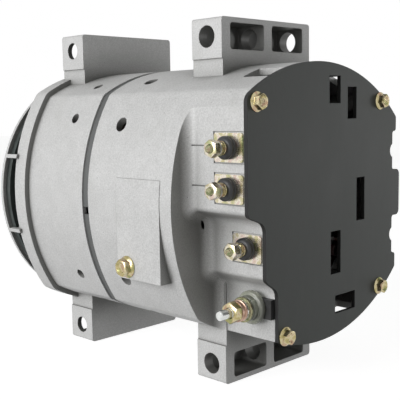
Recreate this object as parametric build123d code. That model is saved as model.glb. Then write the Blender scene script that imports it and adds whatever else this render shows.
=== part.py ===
from build123d import *
import math
import os

# Heavy-duty alternator with four cast mounting feet.
# The shaft lies along Y. The origin is on the shaft axis, at the shoulder that the
# pulley seats on. +Y is the drive end, +Z is up, and the terminals face -X.

# Body section: a square with bulged sides, the same for both castings
BODY_HALF_W = 101.3
BODY_HALF_H = 106.7
TOP_BULGE_R = 148.0
SIDE_BULGE_R = 156.0
CORNER_R = 8.0
BODY_WALL = 6.0
CORE_INSET = 4.0
CORE_BAND_INSET = 1.0
TOUCH = 0.01

# Lengths along the shaft, drive end first
SHOULDER_REACH = 13.0
GUARD_RING_LEN = 3.3
WINDOW_LEN = 13.0
FLANGE_LEN = 16.0
FRONT_BARREL_LEN = 78.7
JOINT_GAP = 8.0
REAR_BARREL_LEN = 99.0
COMPARTMENT_LEN = 55.8
COVER_THK = 3.2
CORE_LEN = 51.0

# Flange and guard of the drive end
FLANGE_RISE = 4.2
GUARD_R = 109.8
GUARD_RING_W = 3.0
GUARD_RIBS = 10
GUARD_RIB_W = 3.4
GUARD_TOE_W = 7.0
GUARD_TOE_LEN = 4.0
FAN_BAY_R = 101.0
FRONT_WALL_THK = 8.0
FRONT_WALL_SETBACK = 8.7
FRONT_VENTS = 8
FRONT_VENT_R_IN = 50.0
FRONT_VENT_R_OUT = 84.0
FRONT_VENT_RIB = 9.0

# Feet
FOOT_HALF_LEN = 52.9
FOOT_THK = 31.4
FOOT_HALF_H = 141.0
FOOT_PITCH = 171.0
FRONT_FOOT_SETBACK = 6.3
FOOT_BORE_Z = 127.0
REAR_BORE_R = 8.33
FRONT_BORE_R = 7.29
FOOT_PAD_LEN = 30.6
FOOT_PAD_RISE = 1.0
FOOT_EDGE_R = 2.5
POCKET_TOP_WALL = 3.9
POCKET_H = 19.9
POCKET_BACK_WALL = 4.0
POCKET_CORNER_R = 2.5
FOOT_WEB = 9.4
REAR_FOOT_END_WALL = 9.3
FRONT_FOOT_END_WALL = 4.5

# Radial air holes over the winding heads
REAR_AIR_HOLE_ANGLES = (35.0, 59.5)
REAR_AIR_HOLE_R = 5.8
REAR_AIR_HOLE_OFFSET = 8.4
FRONT_AIR_HOLE_ANGLES = (37.8, 57.0)
FRONT_AIR_HOLE_R = 4.3
FRONT_AIR_HOLE_OFFSET = 4.4

# Rear wall and the compartment behind the cover
REAR_WALL_THK = 8.0
REAR_VENTS = 10
REAR_OPEN_VENTS = (0, 1, 4, 5, 6, 7, 8, 9)
REAR_VENT_R_IN = 40.0
REAR_VENT_R_OUT = 72.0
REAR_VENT_RIB = 9.0
COMPARTMENT_WALL = 5.0
COMPARTMENT_SIDE_X = 98.0
FLAT_UPPER_X = -82.5
FLAT_MIDDLE_X = -64.1
FLAT_LOWER_X = -51.0
COVER_OVERLAP = 1.2
STEP_UPPER_Z = -1.0
STEP_UPPER_DROP = 7.0
STEP_LOWER_Z = -49.0
STEP_LOWER_DROP = 9.0
STEP_HOLLOW_R = 9.0
STEP_NOSE_R = 4.0
RECESS_FILLET = 8.5
TOP_VENT_X = 48.0
TOP_VENT_W = 19.0
TOP_VENT_LEN = 24.0
TOP_VENT_R = 2.0

# Side pad with the earth bolt
PAD_RISE = 0.35
PAD_TOP_Z = 21.0
PAD_BOTTOM_Z = -57.0
PAD_LEN = 50.0
PAD_SETBACK = 12.5
EARTH_BOLT_Z = -47.5
EARTH_BOLT_SETBACK = 50.5

# Cover plate
COVER_EAR_X = 104.2
COVER_EAR_Z = 51.8
COVER_WAIST_X = 99.0
COVER_TAB_X = 110.0
COVER_TAB_Z = 19.5
COVER_TAB_R = 4.5
COVER_NOTCH_R = 6.4
COVER_NOTCH_DEPTH = 3.4
COVER_NOTCH_Z = 35.5
COVER_EDGE_R = 2.4
COVER_CORNER_R = 9.0
UPPER_SLOTS = ((17.1, 20.8, 14.3, 20.8), (39.7, 30.9, 12.0, 24.8))
MIDDLE_SLOT = (52.0, -0.9, 11.3, 34.6)
LOWEST_SLOT = (31.2, 24.8, 27.0, 14.3)
LOWER_SLOT = (18.3, 17.75, 13.0, 33.8)
COVER_BOLT_SIDE_INSET = 21.9
COVER_BOLT_TOP_INSET = 29.7
COVER_BOLT_FLAT_INSET = 8.8
LOW_COVER_BOLT_FLAT_INSET = 6.7
LOW_COVER_BOLT_INSET = 12.8
COVER_POST_R = 8.0

# Fasteners: shank radius, flange radius, flange height, hex across flats, hex height
M6_SHANK_R = 3.0
M6_FLANGE_R = 7.1
M6_FLANGE_H = 1.4
M6_HEX = 10.0
M6_HEX_H = 4.6
COVER_BOLT_GRIP = 14.0
EARTH_BOLT_GRIP = 14.0
THREAD_CLEARANCE = 0.1
THROUGH_BOLT_INSET = 31.3
THROUGH_BOLT_R = 4.0
THROUGH_HEAD_R = 6.5
THROUGH_HEAD_H = 7.5
THROUGH_SINK = 4.0
THROUGH_THREAD_LEN = 20.0
THROUGH_BOSS_R = 9.0
HOLE_CLEARANCE = 0.4

# Stator
BACK_IRON = 11.3
SLOTS = 36
SLOT_W = 6.0
SLOT_DEPTH = 15.0
COIL_SLACK = 0.4
COIL_HEAD_LEN = 22.0
COIL_HEAD_DEPTH = 14.0
NOTCH_Z = -8.0
NOTCH_W = 6.0
NOTCH_DEPTH = 5.0

# Rotor
AIR_GAP = 0.5
POLES_PER_SIDE = 6
POLE_DISC_THK = 14.0
POLE_SHELL = 10.0
POLE_DISC_STEP = 3.0
POLE_ROOT_W = 36.0
POLE_TIP_W = 16.0
POLE_HUB_R = 31.0
COIL_TO_CLAW = 4.5
COIL_CLEARANCE = 0.4
ROTOR_OVERHANG = 2.5

# Shaft radii and lengths
CORE_SHAFT_R = 18.0
FRONT_BEARING_SHAFT_R = 15.0
FAN_SHAFT_R = 12.5
PULLEY_SEAT_R = 11.11
PULLEY_SEAT_LEN = 34.0
THREAD_R = 9.5
THREAD_LEN = 22.0
REAR_BEARING_SHAFT_R = 10.0
RING_SHAFT_R = 8.5
SHAFT_CHAMFER = 1.2
SEAT_CLEARANCE = 0.02

# Bearings: outer radius, width, balls
FRONT_BEARING_R = 36.0
FRONT_BEARING_W = 19.0
FRONT_BALL_R = 6.1
FRONT_BALLS = 8
REAR_BEARING_R = 23.5
REAR_BEARING_W = 14.0
REAR_BALL_R = 3.9
REAR_BALLS = 8
RACE_SHARE = 0.45
BALL_CLEARANCE = 0.05
CAGE_THK = 1.6
CAGE_CLEARANCE = 0.15
CAGE_SIDE = 1.3
BEARING_LIP = 2.0
BOSS_WALL = 9.0
RETAINER_THK = 3.0
RETAINER_SCREWS = 4

# Fan and pulley shoulder spacer
FAN_GAP = 1.2
FAN_RIM_THK = 2.0
FAN_RIM_LEN = 7.8
FAN_BLADES = 12
FAN_DISC_THK = 2.5
FAN_BLADE_LEN = 12.0
FAN_BLADE_THK = 2.2
FAN_BLADE_INSET = 10.0
FAN_BLADE_IN_R = 58.0
FAN_BLADE_SWEEP = 24.0
FAN_HUB_R = 22.5
FAN_HUB_STEP = 3.0
FAN_WALL_GAP = 5.0
FAN_HUB_NOSE = 6.0
SPACER_R = 17.0

# Slip rings and brushes
RING_R = 16.5
RING_W = 10.0
RING_GAP = 6.0
RING_HUB_R = 13.0
RING_LEAD_IN = 3.0
BRUSH_W = 6.0
BRUSH_L = 8.0
BRUSH_H = 17.0
BRUSH_GAP = 0.3
BRUSH_SIDE_GAP = 0.15
BRUSH_TRAVEL = 8.0
SPRING_R = 2.4
SPRING_WIRE = 0.7
SPRING_SOLID = 4.0
HOLDER_W = 22.0
HOLDER_CAP = 4.0
HOLDER_RING_GAP = 2.0
HOLDER_EAR_W = 12.0
HOLDER_EAR_H = 16.0
HOLDER_EAR_THK = 6.0
HOLDER_EAR_Z = 34.0
SMALL_SCREW_R = 2.5
SMALL_HEAD_R = 4.5
SMALL_HEAD_H = 3.0

# Rectifier, regulator and capacitor
SINK_R_IN = 40.0
SINK_R_OUT = 84.0
SINK_THK = 5.0
SINK_GAP = 12.0
SINK_STANDOFF = 5.0
SINK_START = -112.0
SINK_SPAN = 147.0
SINK_POST_SHARES = (0.07, 0.5, 0.93)
DIODE_R = 6.3
DIODE_RISE = 3.0
DIODE_PIN_R = 1.2
DIODE_PIN_LEN = 8.0
DIODE_PITCH_R = 62.0
DIODES = 3
DIODE_STEP = 46.0
DIODE_SHIFT = 0.33
SINK_POST_R = 77.0
REGULATOR_W = 34.0
REGULATOR_H = 46.0
REGULATOR_D = 20.0
REGULATOR_X = -54.0
REGULATOR_Z = 46.0
REGULATOR_EAR = 11.0
REGULATOR_EAR_THK = 5.0
REGULATOR_FINS = 5
CAPACITOR_R = 11.0
CAPACITOR_LEN = 30.0
CAPACITOR_X = 61.0
CAPACITOR_Z = 63.0

# Small terminals: rows of Z on the flats, and their sizes
TERMINAL_Z = (45.7, 16.6, -28.0)
TERMINAL_SETBACK = 15.5
TAB_W = 27.0
TAB_H = 20.6
TAB_THK = 1.5
TAB_POCKET = 0.8
TAB_POCKET_GAP = 1.0
TAB_CORNER_R = 2.0
GROOVED_TERMINALS = 2
GROOVE_W = 0.8
GROOVE_DEPTH = 0.6
GROOVE_RISE = 1.0
GROOVE_WALL_GAP = 4.0
TERMINAL_STUD_R = 3.0
TERMINAL_TIP = 2.0
TERMINAL_LOCK_H = 2.0
JAM_NUT = 9.5
JAM_NUT_H = 3.5
TERMINAL_NUT = 11.0
TERMINAL_NUT_H = 5.5
TERMINAL_WASHER_R = 5.0
TERMINAL_WASHER_H = 1.4
INSULATOR_R = 8.3
INSULATOR_H = 6.0
INSULATOR_NECK_R = 4.6
STUD_HEAD_R = 6.0
STUD_HEAD_H = 3.0

# Output terminal
OUTPUT_Z = -73.0
OUTPUT_SETBACK = 18.0
OUTPUT_STUD_R = 4.0
OUTPUT_PILOT_R = 3.6
OUTPUT_PILOT_LEN = 10.0
OUTPUT_TIP = 10.5
STRAP_THK = 2.5
STRAP_W = 14.0
STRAP_LEN = 25.0
OUTPUT_BLOCK_RIM_GAP = 0.6
OUTPUT_BLOCK_REACH = 7.5
OUTPUT_BLOCK_H = 14.6
OUTPUT_BLOCK_THK = 5.0
OUTPUT_INSULATOR_R = 12.6
OUTPUT_INSULATOR_H = 5.0
OUTPUT_NECK_R = 6.5
OUTPUT_WASHER_R = 9.5
OUTPUT_WASHER_H = 1.8
OUTPUT_LOCK_R = 8.0
OUTPUT_LOCK_H = 2.2
OUTPUT_SLEEVE_H = 5.2
OUTPUT_COPPER_H = 5.0
OUTPUT_NUT = 14.0
OUTPUT_NUT_H = 6.5

# Stations along Y that follow from the lengths
Y_RING_FRONT = -SHOULDER_REACH
Y_RING_REAR = Y_RING_FRONT - GUARD_RING_LEN
Y_FLANGE_FRONT = Y_RING_REAR - WINDOW_LEN
Y_FLANGE_REAR = Y_FLANGE_FRONT - FLANGE_LEN
Y_FRONT_JOINT = Y_FLANGE_REAR - FRONT_BARREL_LEN
Y_REAR_JOINT = Y_FRONT_JOINT - JOINT_GAP
Y_RECESS = Y_REAR_JOINT - REAR_BARREL_LEN
Y_RIM = Y_RECESS - COMPARTMENT_LEN
Y_COVER = Y_RIM - COVER_THK
Y_CORE_MID = (Y_FRONT_JOINT + Y_REAR_JOINT) / 2
Y_CORE_FRONT = Y_CORE_MID + CORE_LEN / 2
Y_CORE_REAR = Y_CORE_MID - CORE_LEN / 2
Y_WALL_FRONT = Y_FLANGE_FRONT - FRONT_WALL_SETBACK
Y_WALL_BACK = Y_WALL_FRONT - FRONT_WALL_THK
Y_REAR_WALL_FRONT = Y_RECESS + REAR_WALL_THK
Y_FRONT_FOOT = Y_FLANGE_FRONT - FRONT_FOOT_SETBACK
Y_FRONT_BORE = Y_FRONT_FOOT - FOOT_THK / 2
Y_REAR_BORE = Y_FRONT_BORE - FOOT_PITCH
Y_REAR_FOOT = Y_REAR_BORE - FOOT_THK / 2
Y_FRONT_BEARING = Y_WALL_FRONT - BEARING_LIP
Y_REAR_BEARING = Y_RECESS + BEARING_LIP
Y_ROTOR_FRONT = Y_CORE_FRONT + ROTOR_OVERHANG
Y_ROTOR_REAR = Y_CORE_REAR - ROTOR_OVERHANG
Y_FAN_REAR = Y_WALL_FRONT + FAN_WALL_GAP
Y_FAN_DISC = Y_FAN_REAR + FAN_BLADE_LEN
Y_FAN_NOSE = Y_FAN_DISC + FAN_DISC_THK + FAN_HUB_NOSE
Y_RINGS_FRONT = Y_RECESS - RING_LEAD_IN
Y_RINGS_REAR = Y_RINGS_FRONT - 2 * RING_W - RING_GAP
Y_EARTH_BOLT = Y_RECESS + EARTH_BOLT_SETBACK
Y_TERMINAL = Y_RIM + TERMINAL_SETBACK
Y_OUTPUT = Y_RIM + OUTPUT_SETBACK
BODY_HALF_MIN = min(BODY_HALF_W, BODY_HALF_H)
STATOR_BORE_R = BODY_HALF_MIN - CORE_INSET - BACK_IRON - SLOT_DEPTH
THROUGH_BOLT_XZ = BODY_HALF_MIN - THROUGH_BOLT_INSET
ROTOR_R = STATOR_BORE_R - AIR_GAP
COIL_R = ROTOR_R - POLE_SHELL - COIL_TO_CLAW
SLOT_R = STATOR_BORE_R + SLOT_DEPTH
FLAT_X = (FLAT_UPPER_X, FLAT_UPPER_X, FLAT_MIDDLE_X)
FAN_R = GUARD_R - GUARD_RING_W - FAN_GAP
Y_SINK_NEGATIVE = Y_RECESS - SINK_STANDOFF
Y_SINK_POSITIVE = Y_SINK_NEGATIVE - SINK_THK - SINK_GAP


def slab(outline, y_rear, y_front):
    """Prism of a section drawn in X and Z, between two stations."""
    return extrude(Plane.XZ.offset(-y_front) * outline, amount=y_front - y_rear)


def turned(*points):
    """Solid turned about the shaft axis from (radius, y) points."""
    return revolve(make_face(Polyline(*points, close=True)), Axis.Y)


def ring(r_out, r_in, y_rear, y_front):
    """Plain ring about the shaft axis."""
    return turned((r_in, y_rear), (r_out, y_rear), (r_out, y_front), (r_in, y_front))


def disc(r, y_rear, y_front):
    """Plain cylinder about the shaft axis."""
    return slab(Circle(r), y_rear, y_front)


def rod_y(r, x, z, y_rear, y_front):
    """Cylinder along Y."""
    return slab(Pos(x, z) * Circle(r), y_rear, y_front)


def rod_x(r, y, z, x_low, x_high):
    """Cylinder along X."""
    return extrude(Plane.YZ.offset(x_low) * (Pos(y, z) * Circle(r)), amount=x_high - x_low)


def rod_z(r, x, y, z_low, z_high):
    """Cylinder along Z."""
    return extrude(Plane.XY.offset(z_low) * (Pos(x, y) * Circle(r)), amount=z_high - z_low)


def block(x_low, x_high, y_rear, y_front, z_low, z_high):
    """Box between six limits."""
    middle = Pos((x_low + x_high) / 2, (y_rear + y_front) / 2, (z_low + z_high) / 2)
    return middle * Box(x_high - x_low, y_front - y_rear, z_high - z_low)


def around_shaft(piece, count, start=0.0):
    """Equally spaced copies about the shaft axis."""
    return [Rot(0, start + 360 / count * i, 0) * piece for i in range(count)]


def group(pieces):
    """Separate solids kept together as one part."""
    return Compound(children=list(pieces))


def body_outline(inset=0.0):
    """Bulged square: the overlap of four large circles, with rounded corners."""
    side = Circle(SIDE_BULGE_R - inset)
    top = Circle(TOP_BULGE_R - inset)
    dx = SIDE_BULGE_R - BODY_HALF_W
    dz = TOP_BULGE_R - BODY_HALF_H
    outline = (Pos(dx, 0) * side) & (Pos(-dx, 0) * side) & (Pos(0, dz) * top) & (Pos(0, -dz) * top)
    return fillet(outline.vertices(), CORNER_R - inset)


def recess_cut(inset=0.0):
    """Section of the stepped recess at the terminal side."""
    far = -2 * BODY_HALF_W
    noses = ((FLAT_UPPER_X, STEP_UPPER_Z), (FLAT_MIDDLE_X, STEP_LOWER_Z))
    hollows = ((FLAT_MIDDLE_X, STEP_UPPER_Z - STEP_UPPER_DROP), (FLAT_LOWER_X, STEP_LOWER_Z - STEP_LOWER_DROP))
    steps = [(x + inset, z + inset) for pair in zip(noses, hollows) for x, z in pair]
    outline = make_face(Polyline(
        (FLAT_UPPER_X + inset, 2 * BODY_HALF_H), *steps, (FLAT_LOWER_X + inset, -2 * BODY_HALF_H),
        (far, -2 * BODY_HALF_H), (far, 2 * BODY_HALF_H), close=True))
    outline = fillet(vertices_at(outline, hollows, inset), STEP_HOLLOW_R)
    return fillet(vertices_at(outline, noses, inset), STEP_NOSE_R)


def vertices_at(outline, places, shift):
    """Corners of a section that stand at the given places, all moved by one shift."""
    return [v for v in outline.vertices()
            if any(math.dist((v.X, v.Y), (x + shift, z + shift)) < TOUCH for x, z in places)]


def arched_band(half_width, inset=0.0):
    """Section between the top and bottom arcs, out to a half width."""
    arc = Circle(TOP_BULGE_R - inset)
    dz = TOP_BULGE_R - BODY_HALF_H
    return (Pos(0, dz) * arc) & (Pos(0, -dz) * arc) & Rectangle(2 * half_width, 4 * BODY_HALF_H)


def shell_outline(inset=0.0):
    """Section of the compartment before the recess: squarer on the far side."""
    right = arched_band(COMPARTMENT_SIDE_X - inset, inset) & Pos(BODY_HALF_W, 0) * Rectangle(
        2 * BODY_HALF_W, 4 * BODY_HALF_H)
    return body_outline(inset) + right


def compartment_outline(inset=0.0):
    """Section of the compartment behind the cover."""
    return shell_outline(inset) - recess_cut(inset)


def recess():
    """The recess as a cutting body, with its inner end rounded."""
    cutter = slab(recess_cut(), Y_RIM - 1, Y_RECESS)
    inner = [e for e in cutter.edges() if e.bounding_box().min.Y > Y_RECESS - TOUCH]
    reach = 2 * BODY_HALF_H - TOUCH
    walls = [e for e in inner if e.bounding_box().min.X > -2 * BODY_HALF_W + TOUCH and abs(e.center().Z) < reach]
    return fillet(walls, RECESS_FILLET)


def foot(side, y_rear, bore_r, end_wall, open_rear):
    """One cast foot with its machined side pads, two pockets and cross bore."""
    y_front = y_rear + FOOT_THK
    half = FOOT_HALF_LEN - FOOT_PAD_RISE
    pedestal = block(-half, half, y_rear, y_front, 0, FOOT_HALF_H)
    pad = block(-FOOT_HALF_LEN, FOOT_HALF_LEN, y_rear, y_front, FOOT_HALF_H - FOOT_PAD_LEN, FOOT_HALF_H)
    pad = fillet(pad.edges().filter_by(Axis.Y).group_by(Axis.Z)[-1], FOOT_EDGE_R)
    top = FOOT_HALF_H - FOOT_EDGE_R
    solid = pedestal - block(-half, half, y_rear, y_front, top, FOOT_HALF_H) + pad
    pocket_top = FOOT_HALF_H - POCKET_TOP_WALL
    pocket_low = pocket_top - POCKET_H
    x_in = FOOT_WEB / 2
    x_out = FOOT_HALF_LEN - end_wall
    mouth = y_rear if open_rear else y_rear + POCKET_BACK_WALL
    hollow = RectangleRounded(x_out - x_in, POCKET_H, POCKET_CORNER_R)
    for way in (-1, 1):
        place = Pos(way * (x_in + x_out) / 2, (pocket_top + pocket_low) / 2)
        solid -= slab(place * hollow, mouth, mouth + FOOT_THK - POCKET_BACK_WALL)
    solid -= rod_x(bore_r, (y_rear + y_front) / 2, FOOT_BORE_Z, -2 * FOOT_HALF_LEN, 2 * FOOT_HALF_LEN)
    return solid if side > 0 else mirror(solid, Plane.XY)


def air_holes(r, y, angles):
    """Radial holes near the four corners of a barrel."""
    holes = []
    for angle in angles:
        drill = Rot(0, -angle, 0) * rod_x(r, y, 0, STATOR_BORE_R, 2 * BODY_HALF_H)
        for flip in (False, True):
            piece = mirror(drill, Plane.XY) if flip else drill
            holes += [piece, mirror(piece, Plane.YZ)]
    return holes


def vent(count, r_in, r_out, rib, y_rear, y_front):
    """One sector opening between two spokes, about the +X direction."""
    sector = Circle(r_out) - Circle(r_in)
    sector &= Pos(r_out, 0) * Rectangle(2 * r_out, 4 * r_out)
    for way in (-1, 1):
        half = math.radians(180 / count)
        shift = rib / 2 / math.sin(half)
        edge = [(shift, 0), (shift + 3 * r_out * math.cos(half), way * 3 * r_out * math.sin(half))]
        sector -= make_face(Polyline(*edge, (-r_out, way * 3 * r_out), (-r_out, 0), close=True))
    sector = fillet(sector.vertices(), rib / 4)
    return slab(sector, y_rear - 1, y_front + 1)


def bearing_boss(r, y_rear, y_front):
    """Outer form of a bearing boss, slightly drafted."""
    return turned((0, y_rear), (r, y_rear), (r + 2, y_front), (0, y_front))


def guard_rib():
    """One rib of the fan guard, with a wider toe on the flange."""
    y_rear = Y_FLANGE_FRONT - GUARD_RIB_W
    bar = Pos(GUARD_R - GUARD_RING_W / 2, 0) * Rectangle(GUARD_RING_W, GUARD_RIB_W)
    toe = Pos(GUARD_R - GUARD_TOE_W / 2, 0) * Rectangle(GUARD_TOE_W, GUARD_RIB_W)
    rib = slab(bar, y_rear, Y_RING_FRONT) + slab(toe, y_rear, Y_FLANGE_FRONT + GUARD_TOE_LEN)
    return rib & disc(GUARD_R, y_rear, Y_RING_FRONT)


def drive_end_housing():
    """Drive-end casting: barrel, flange, bearing wall, fan guard and front feet."""
    barrel = slab(body_outline(), Y_FRONT_JOINT, Y_FLANGE_REAR)
    flange = slab(body_outline(-FLANGE_RISE), Y_FLANGE_REAR, Y_FLANGE_FRONT)
    casting = barrel + flange
    for side in (1, -1):
        casting += foot(side, Y_FRONT_FOOT - FOOT_THK, FRONT_BORE_R, FRONT_FOOT_END_WALL, False)
    casting -= slab(body_outline(BODY_WALL), Y_FRONT_JOINT - 1, Y_WALL_BACK)
    casting -= slab(body_outline(CORE_INSET), Y_FRONT_JOINT - 1, Y_CORE_FRONT)
    for x, z in corners(THROUGH_BOLT_XZ):
        casting -= rod_y(THROUGH_HEAD_R + HOLE_CLEARANCE, x, z, Y_WALL_FRONT - THROUGH_SINK, Y_FLANGE_FRONT + 1)
    casting -= disc(FAN_BAY_R, Y_WALL_FRONT, Y_FLANGE_FRONT + 1)
    guard = ring(GUARD_R, GUARD_R - GUARD_RING_W, Y_RING_REAR, Y_RING_FRONT)
    casting += guard
    for piece in around_shaft(guard_rib(), GUARD_RIBS, 180 / GUARD_RIBS):
        casting += piece
    y_boss = Y_FRONT_BEARING - FRONT_BEARING_W
    casting += bearing_boss(FRONT_BEARING_R + BOSS_WALL, y_boss, Y_WALL_BACK)
    casting -= disc(FRONT_BEARING_R + SEAT_CLEARANCE, y_boss - 1, Y_FRONT_BEARING)
    casting -= disc(FAN_HUB_R + 2, y_boss, Y_WALL_FRONT + 1)
    window = vent(FRONT_VENTS, FRONT_VENT_R_IN, FRONT_VENT_R_OUT, FRONT_VENT_RIB, Y_WALL_BACK, Y_WALL_FRONT)
    for piece in around_shaft(window, FRONT_VENTS):
        casting -= piece
    for hole in air_holes(FRONT_AIR_HOLE_R, Y_CORE_FRONT + FRONT_AIR_HOLE_OFFSET, FRONT_AIR_HOLE_ANGLES):
        casting -= hole
    for x, z in corners(THROUGH_BOLT_XZ):
        casting -= rod_y(THROUGH_BOLT_R + HOLE_CLEARANCE, x, z, Y_WALL_BACK - 1, Y_WALL_FRONT + 1)
    for screw in retainer_screw_places():
        casting -= rod_y(M6_SHANK_R + THREAD_CLEARANCE, *screw, y_boss - 1, y_boss + 12)
    return casting


def corners(half):
    """The four corner places of a square pattern."""
    return [(x * half, z * half) for x in (-1, 1) for z in (-1, 1)]


def retainer_screw_places():
    """Screw places on the front bearing boss."""
    r = FRONT_BEARING_R + BOSS_WALL / 2
    turns = [math.radians(45 + 360 / RETAINER_SCREWS * i) for i in range(RETAINER_SCREWS)]
    return [(r * math.cos(t), r * math.sin(t)) for t in turns]


def cover_bolt_places():
    """Places of the four cover bolts."""
    x = BODY_HALF_W - COVER_BOLT_SIDE_INSET
    z = BODY_HALF_H - COVER_BOLT_TOP_INSET
    upper_flat = (FLAT_UPPER_X + COVER_BOLT_FLAT_INSET, z)
    lower_flat = (FLAT_LOWER_X + LOW_COVER_BOLT_FLAT_INSET, LOW_COVER_BOLT_INSET - BODY_HALF_H)
    return [(x, z), (x, -z), upper_flat, lower_flat]


def cover_slots():
    """Middle, width and height of the five air slots, set from the edge of the body that each is near."""
    slots = [(x, BODY_HALF_H - inset, width, height) for x, inset, width, height in UPPER_SLOTS]
    x, inset, width, height = LOWEST_SLOT
    slots += [MIDDLE_SLOT, (x, inset - BODY_HALF_H, width, height)]
    x, gap, width, above = LOWER_SLOT
    return slots + [(x, inset - BODY_HALF_H + height / 2 + gap + above / 2, width, above)]


def side_pad():
    """Raised pad on the terminal side of the rear barrel."""
    y_rear = Y_RECESS + PAD_SETBACK
    reach = BODY_HALF_W + PAD_RISE
    flat = block(-reach, -BODY_HALF_W / 2, y_rear, y_rear + PAD_LEN, PAD_BOTTOM_Z, 0)
    raised = slab(body_outline(-PAD_RISE), y_rear, y_rear + PAD_LEN)
    raised &= block(-reach, -BODY_HALF_W / 2, y_rear, y_rear + PAD_LEN, 0, PAD_TOP_Z)
    return flat + raised


def terminal_holes():
    """Cuts for the studs and tab pockets in the flats, with the fine grooves that lead to them."""
    cuts = []
    for i, z in enumerate(TERMINAL_Z):
        x = FLAT_X[i]
        cuts.append(rod_x(INSULATOR_NECK_R + HOLE_CLEARANCE, Y_TERMINAL, z, x - 1, x + 2 * COMPARTMENT_WALL))
        half_w = TAB_W / 2 + TAB_POCKET_GAP
        half_h = TAB_H / 2 + TAB_POCKET_GAP
        cuts.append(block(x - 1, x + TAB_POCKET, Y_TERMINAL - half_w, Y_TERMINAL + half_w, z - half_h, z + half_h))
    for z in TERMINAL_Z[:GROOVED_TERMINALS]:
        middle = z + GROOVE_RISE
        cuts.append(block(FLAT_UPPER_X - 1, FLAT_UPPER_X + GROOVE_DEPTH, Y_TERMINAL, Y_RECESS - GROOVE_WALL_GAP,
                          middle - GROOVE_W / 2, middle + GROOVE_W / 2))
    cuts.append(rod_x(OUTPUT_NECK_R + HOLE_CLEARANCE, Y_OUTPUT, OUTPUT_Z, FLAT_LOWER_X - 1,
                      FLAT_LOWER_X + 2 * COMPARTMENT_WALL))
    return cuts


def rear_housing():
    """Rear casting: barrel, bearing wall, compartment shell, recess and rear feet."""
    casting = slab(body_outline(), Y_RECESS, Y_REAR_JOINT)
    casting += slab(shell_outline(), Y_RIM, Y_RECESS)
    casting -= recess()
    casting += side_pad()
    for side in (1, -1):
        casting += foot(side, Y_REAR_FOOT, REAR_BORE_R, REAR_FOOT_END_WALL, True)
    casting -= slab(body_outline(BODY_WALL), Y_REAR_WALL_FRONT, Y_REAR_JOINT + 1)
    casting -= slab(body_outline(CORE_INSET), Y_CORE_REAR, Y_REAR_JOINT + 1)
    casting -= slab(compartment_outline(COMPARTMENT_WALL), Y_RIM - 1, Y_RECESS)
    shell = slab(compartment_outline(), Y_RIM, Y_RECESS)
    for x, z in cover_bolt_places():
        post = rod_y(COVER_POST_R, x, z, Y_RIM, Y_RECESS) & shell
        casting += post
        casting -= rod_y(M6_SHANK_R + THREAD_CLEARANCE, x, z, Y_RIM - 1, Y_RIM + COVER_BOLT_GRIP + 2)
    for x, z in corners(THROUGH_BOLT_XZ):
        boss = rod_y(THROUGH_BOSS_R, x, z, Y_REAR_WALL_FRONT, Y_CORE_REAR) & slab(body_outline(), Y_RECESS, Y_REAR_JOINT)
        casting += boss
        casting -= rod_y(THROUGH_BOLT_R + THREAD_CLEARANCE, x, z, Y_CORE_REAR - THROUGH_THREAD_LEN - 2, Y_CORE_REAR + 1)
    y_boss = Y_REAR_BEARING + REAR_BEARING_W
    casting += disc(REAR_BEARING_R + BOSS_WALL, Y_RECESS, y_boss)
    casting -= disc(REAR_BEARING_R + SEAT_CLEARANCE, Y_REAR_BEARING, y_boss + 1)
    casting -= disc(RING_HUB_R + 1, Y_RECESS - 1, Y_REAR_BEARING + 1)
    window = vent(REAR_VENTS, REAR_VENT_R_IN, REAR_VENT_R_OUT, REAR_VENT_RIB, Y_RECESS, Y_REAR_WALL_FRONT)
    for i in REAR_OPEN_VENTS:
        casting -= Rot(0, -360 / REAR_VENTS * i, 0) * window
    screw_places = holder_screw_places() + regulator_screw_places() + sink_post_places()
    for x, z in screw_places:
        casting -= rod_y(SMALL_SCREW_R + THREAD_CLEARANCE, x, z, Y_RECESS - 1, Y_REAR_WALL_FRONT + 1)
    for hole in air_holes(REAR_AIR_HOLE_R, Y_CORE_REAR - REAR_AIR_HOLE_OFFSET, REAR_AIR_HOLE_ANGLES):
        casting -= hole
    for cut in terminal_holes():
        casting -= cut
    for x, z in ((-TOP_VENT_X, BODY_HALF_H), (TOP_VENT_X, BODY_HALF_H), (TOP_VENT_X, -BODY_HALF_H)):
        opening = Pos(x, Y_RIM + TOP_VENT_LEN / 2, z) * Box(TOP_VENT_W, TOP_VENT_LEN, BODY_HALF_H)
        casting -= fillet(opening.edges().filter_by(Axis.Z).group_by(Axis.Y)[-1], TOP_VENT_R)
    casting -= rod_x(M6_SHANK_R + THREAD_CLEARANCE, Y_EARTH_BOLT, EARTH_BOLT_Z, -2 * BODY_HALF_W,
                     -BODY_HALF_W - PAD_RISE + EARTH_BOLT_GRIP + 1)
    return casting


def cover_outline():
    """Outline of the cover plate, with two ears and a tab at the far side."""
    outline = arched_band(COVER_EAR_X) - recess_cut(-COVER_OVERLAP)
    middle = (COVER_EAR_Z + COVER_TAB_Z) / 2
    for way in (-1, 1):
        place = Pos(COVER_WAIST_X + COVER_EAR_X / 2, way * middle)
        outline -= place * Rectangle(COVER_EAR_X, COVER_EAR_Z - COVER_TAB_Z)
    outline += Pos(COVER_TAB_X / 2, 0) * Rectangle(COVER_TAB_X, 2 * COVER_TAB_Z)
    outline = fillet([v for v in outline.vertices() if v.X > COVER_TAB_X - TOUCH], COVER_TAB_R)
    tab_start = COVER_TAB_X - COVER_TAB_R - TOUCH
    outline = fillet([v for v in outline.vertices() if 0 < v.X < tab_start], COVER_EDGE_R)
    outline = fillet([v for v in outline.vertices() if v.X < 0 and v.Y > BODY_HALF_H / 2], COVER_CORNER_R)
    for way in (-1, 1):
        place = Pos(COVER_WAIST_X + COVER_NOTCH_R - COVER_NOTCH_DEPTH, way * COVER_NOTCH_Z)
        outline -= place * Circle(COVER_NOTCH_R)
    return outline


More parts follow.
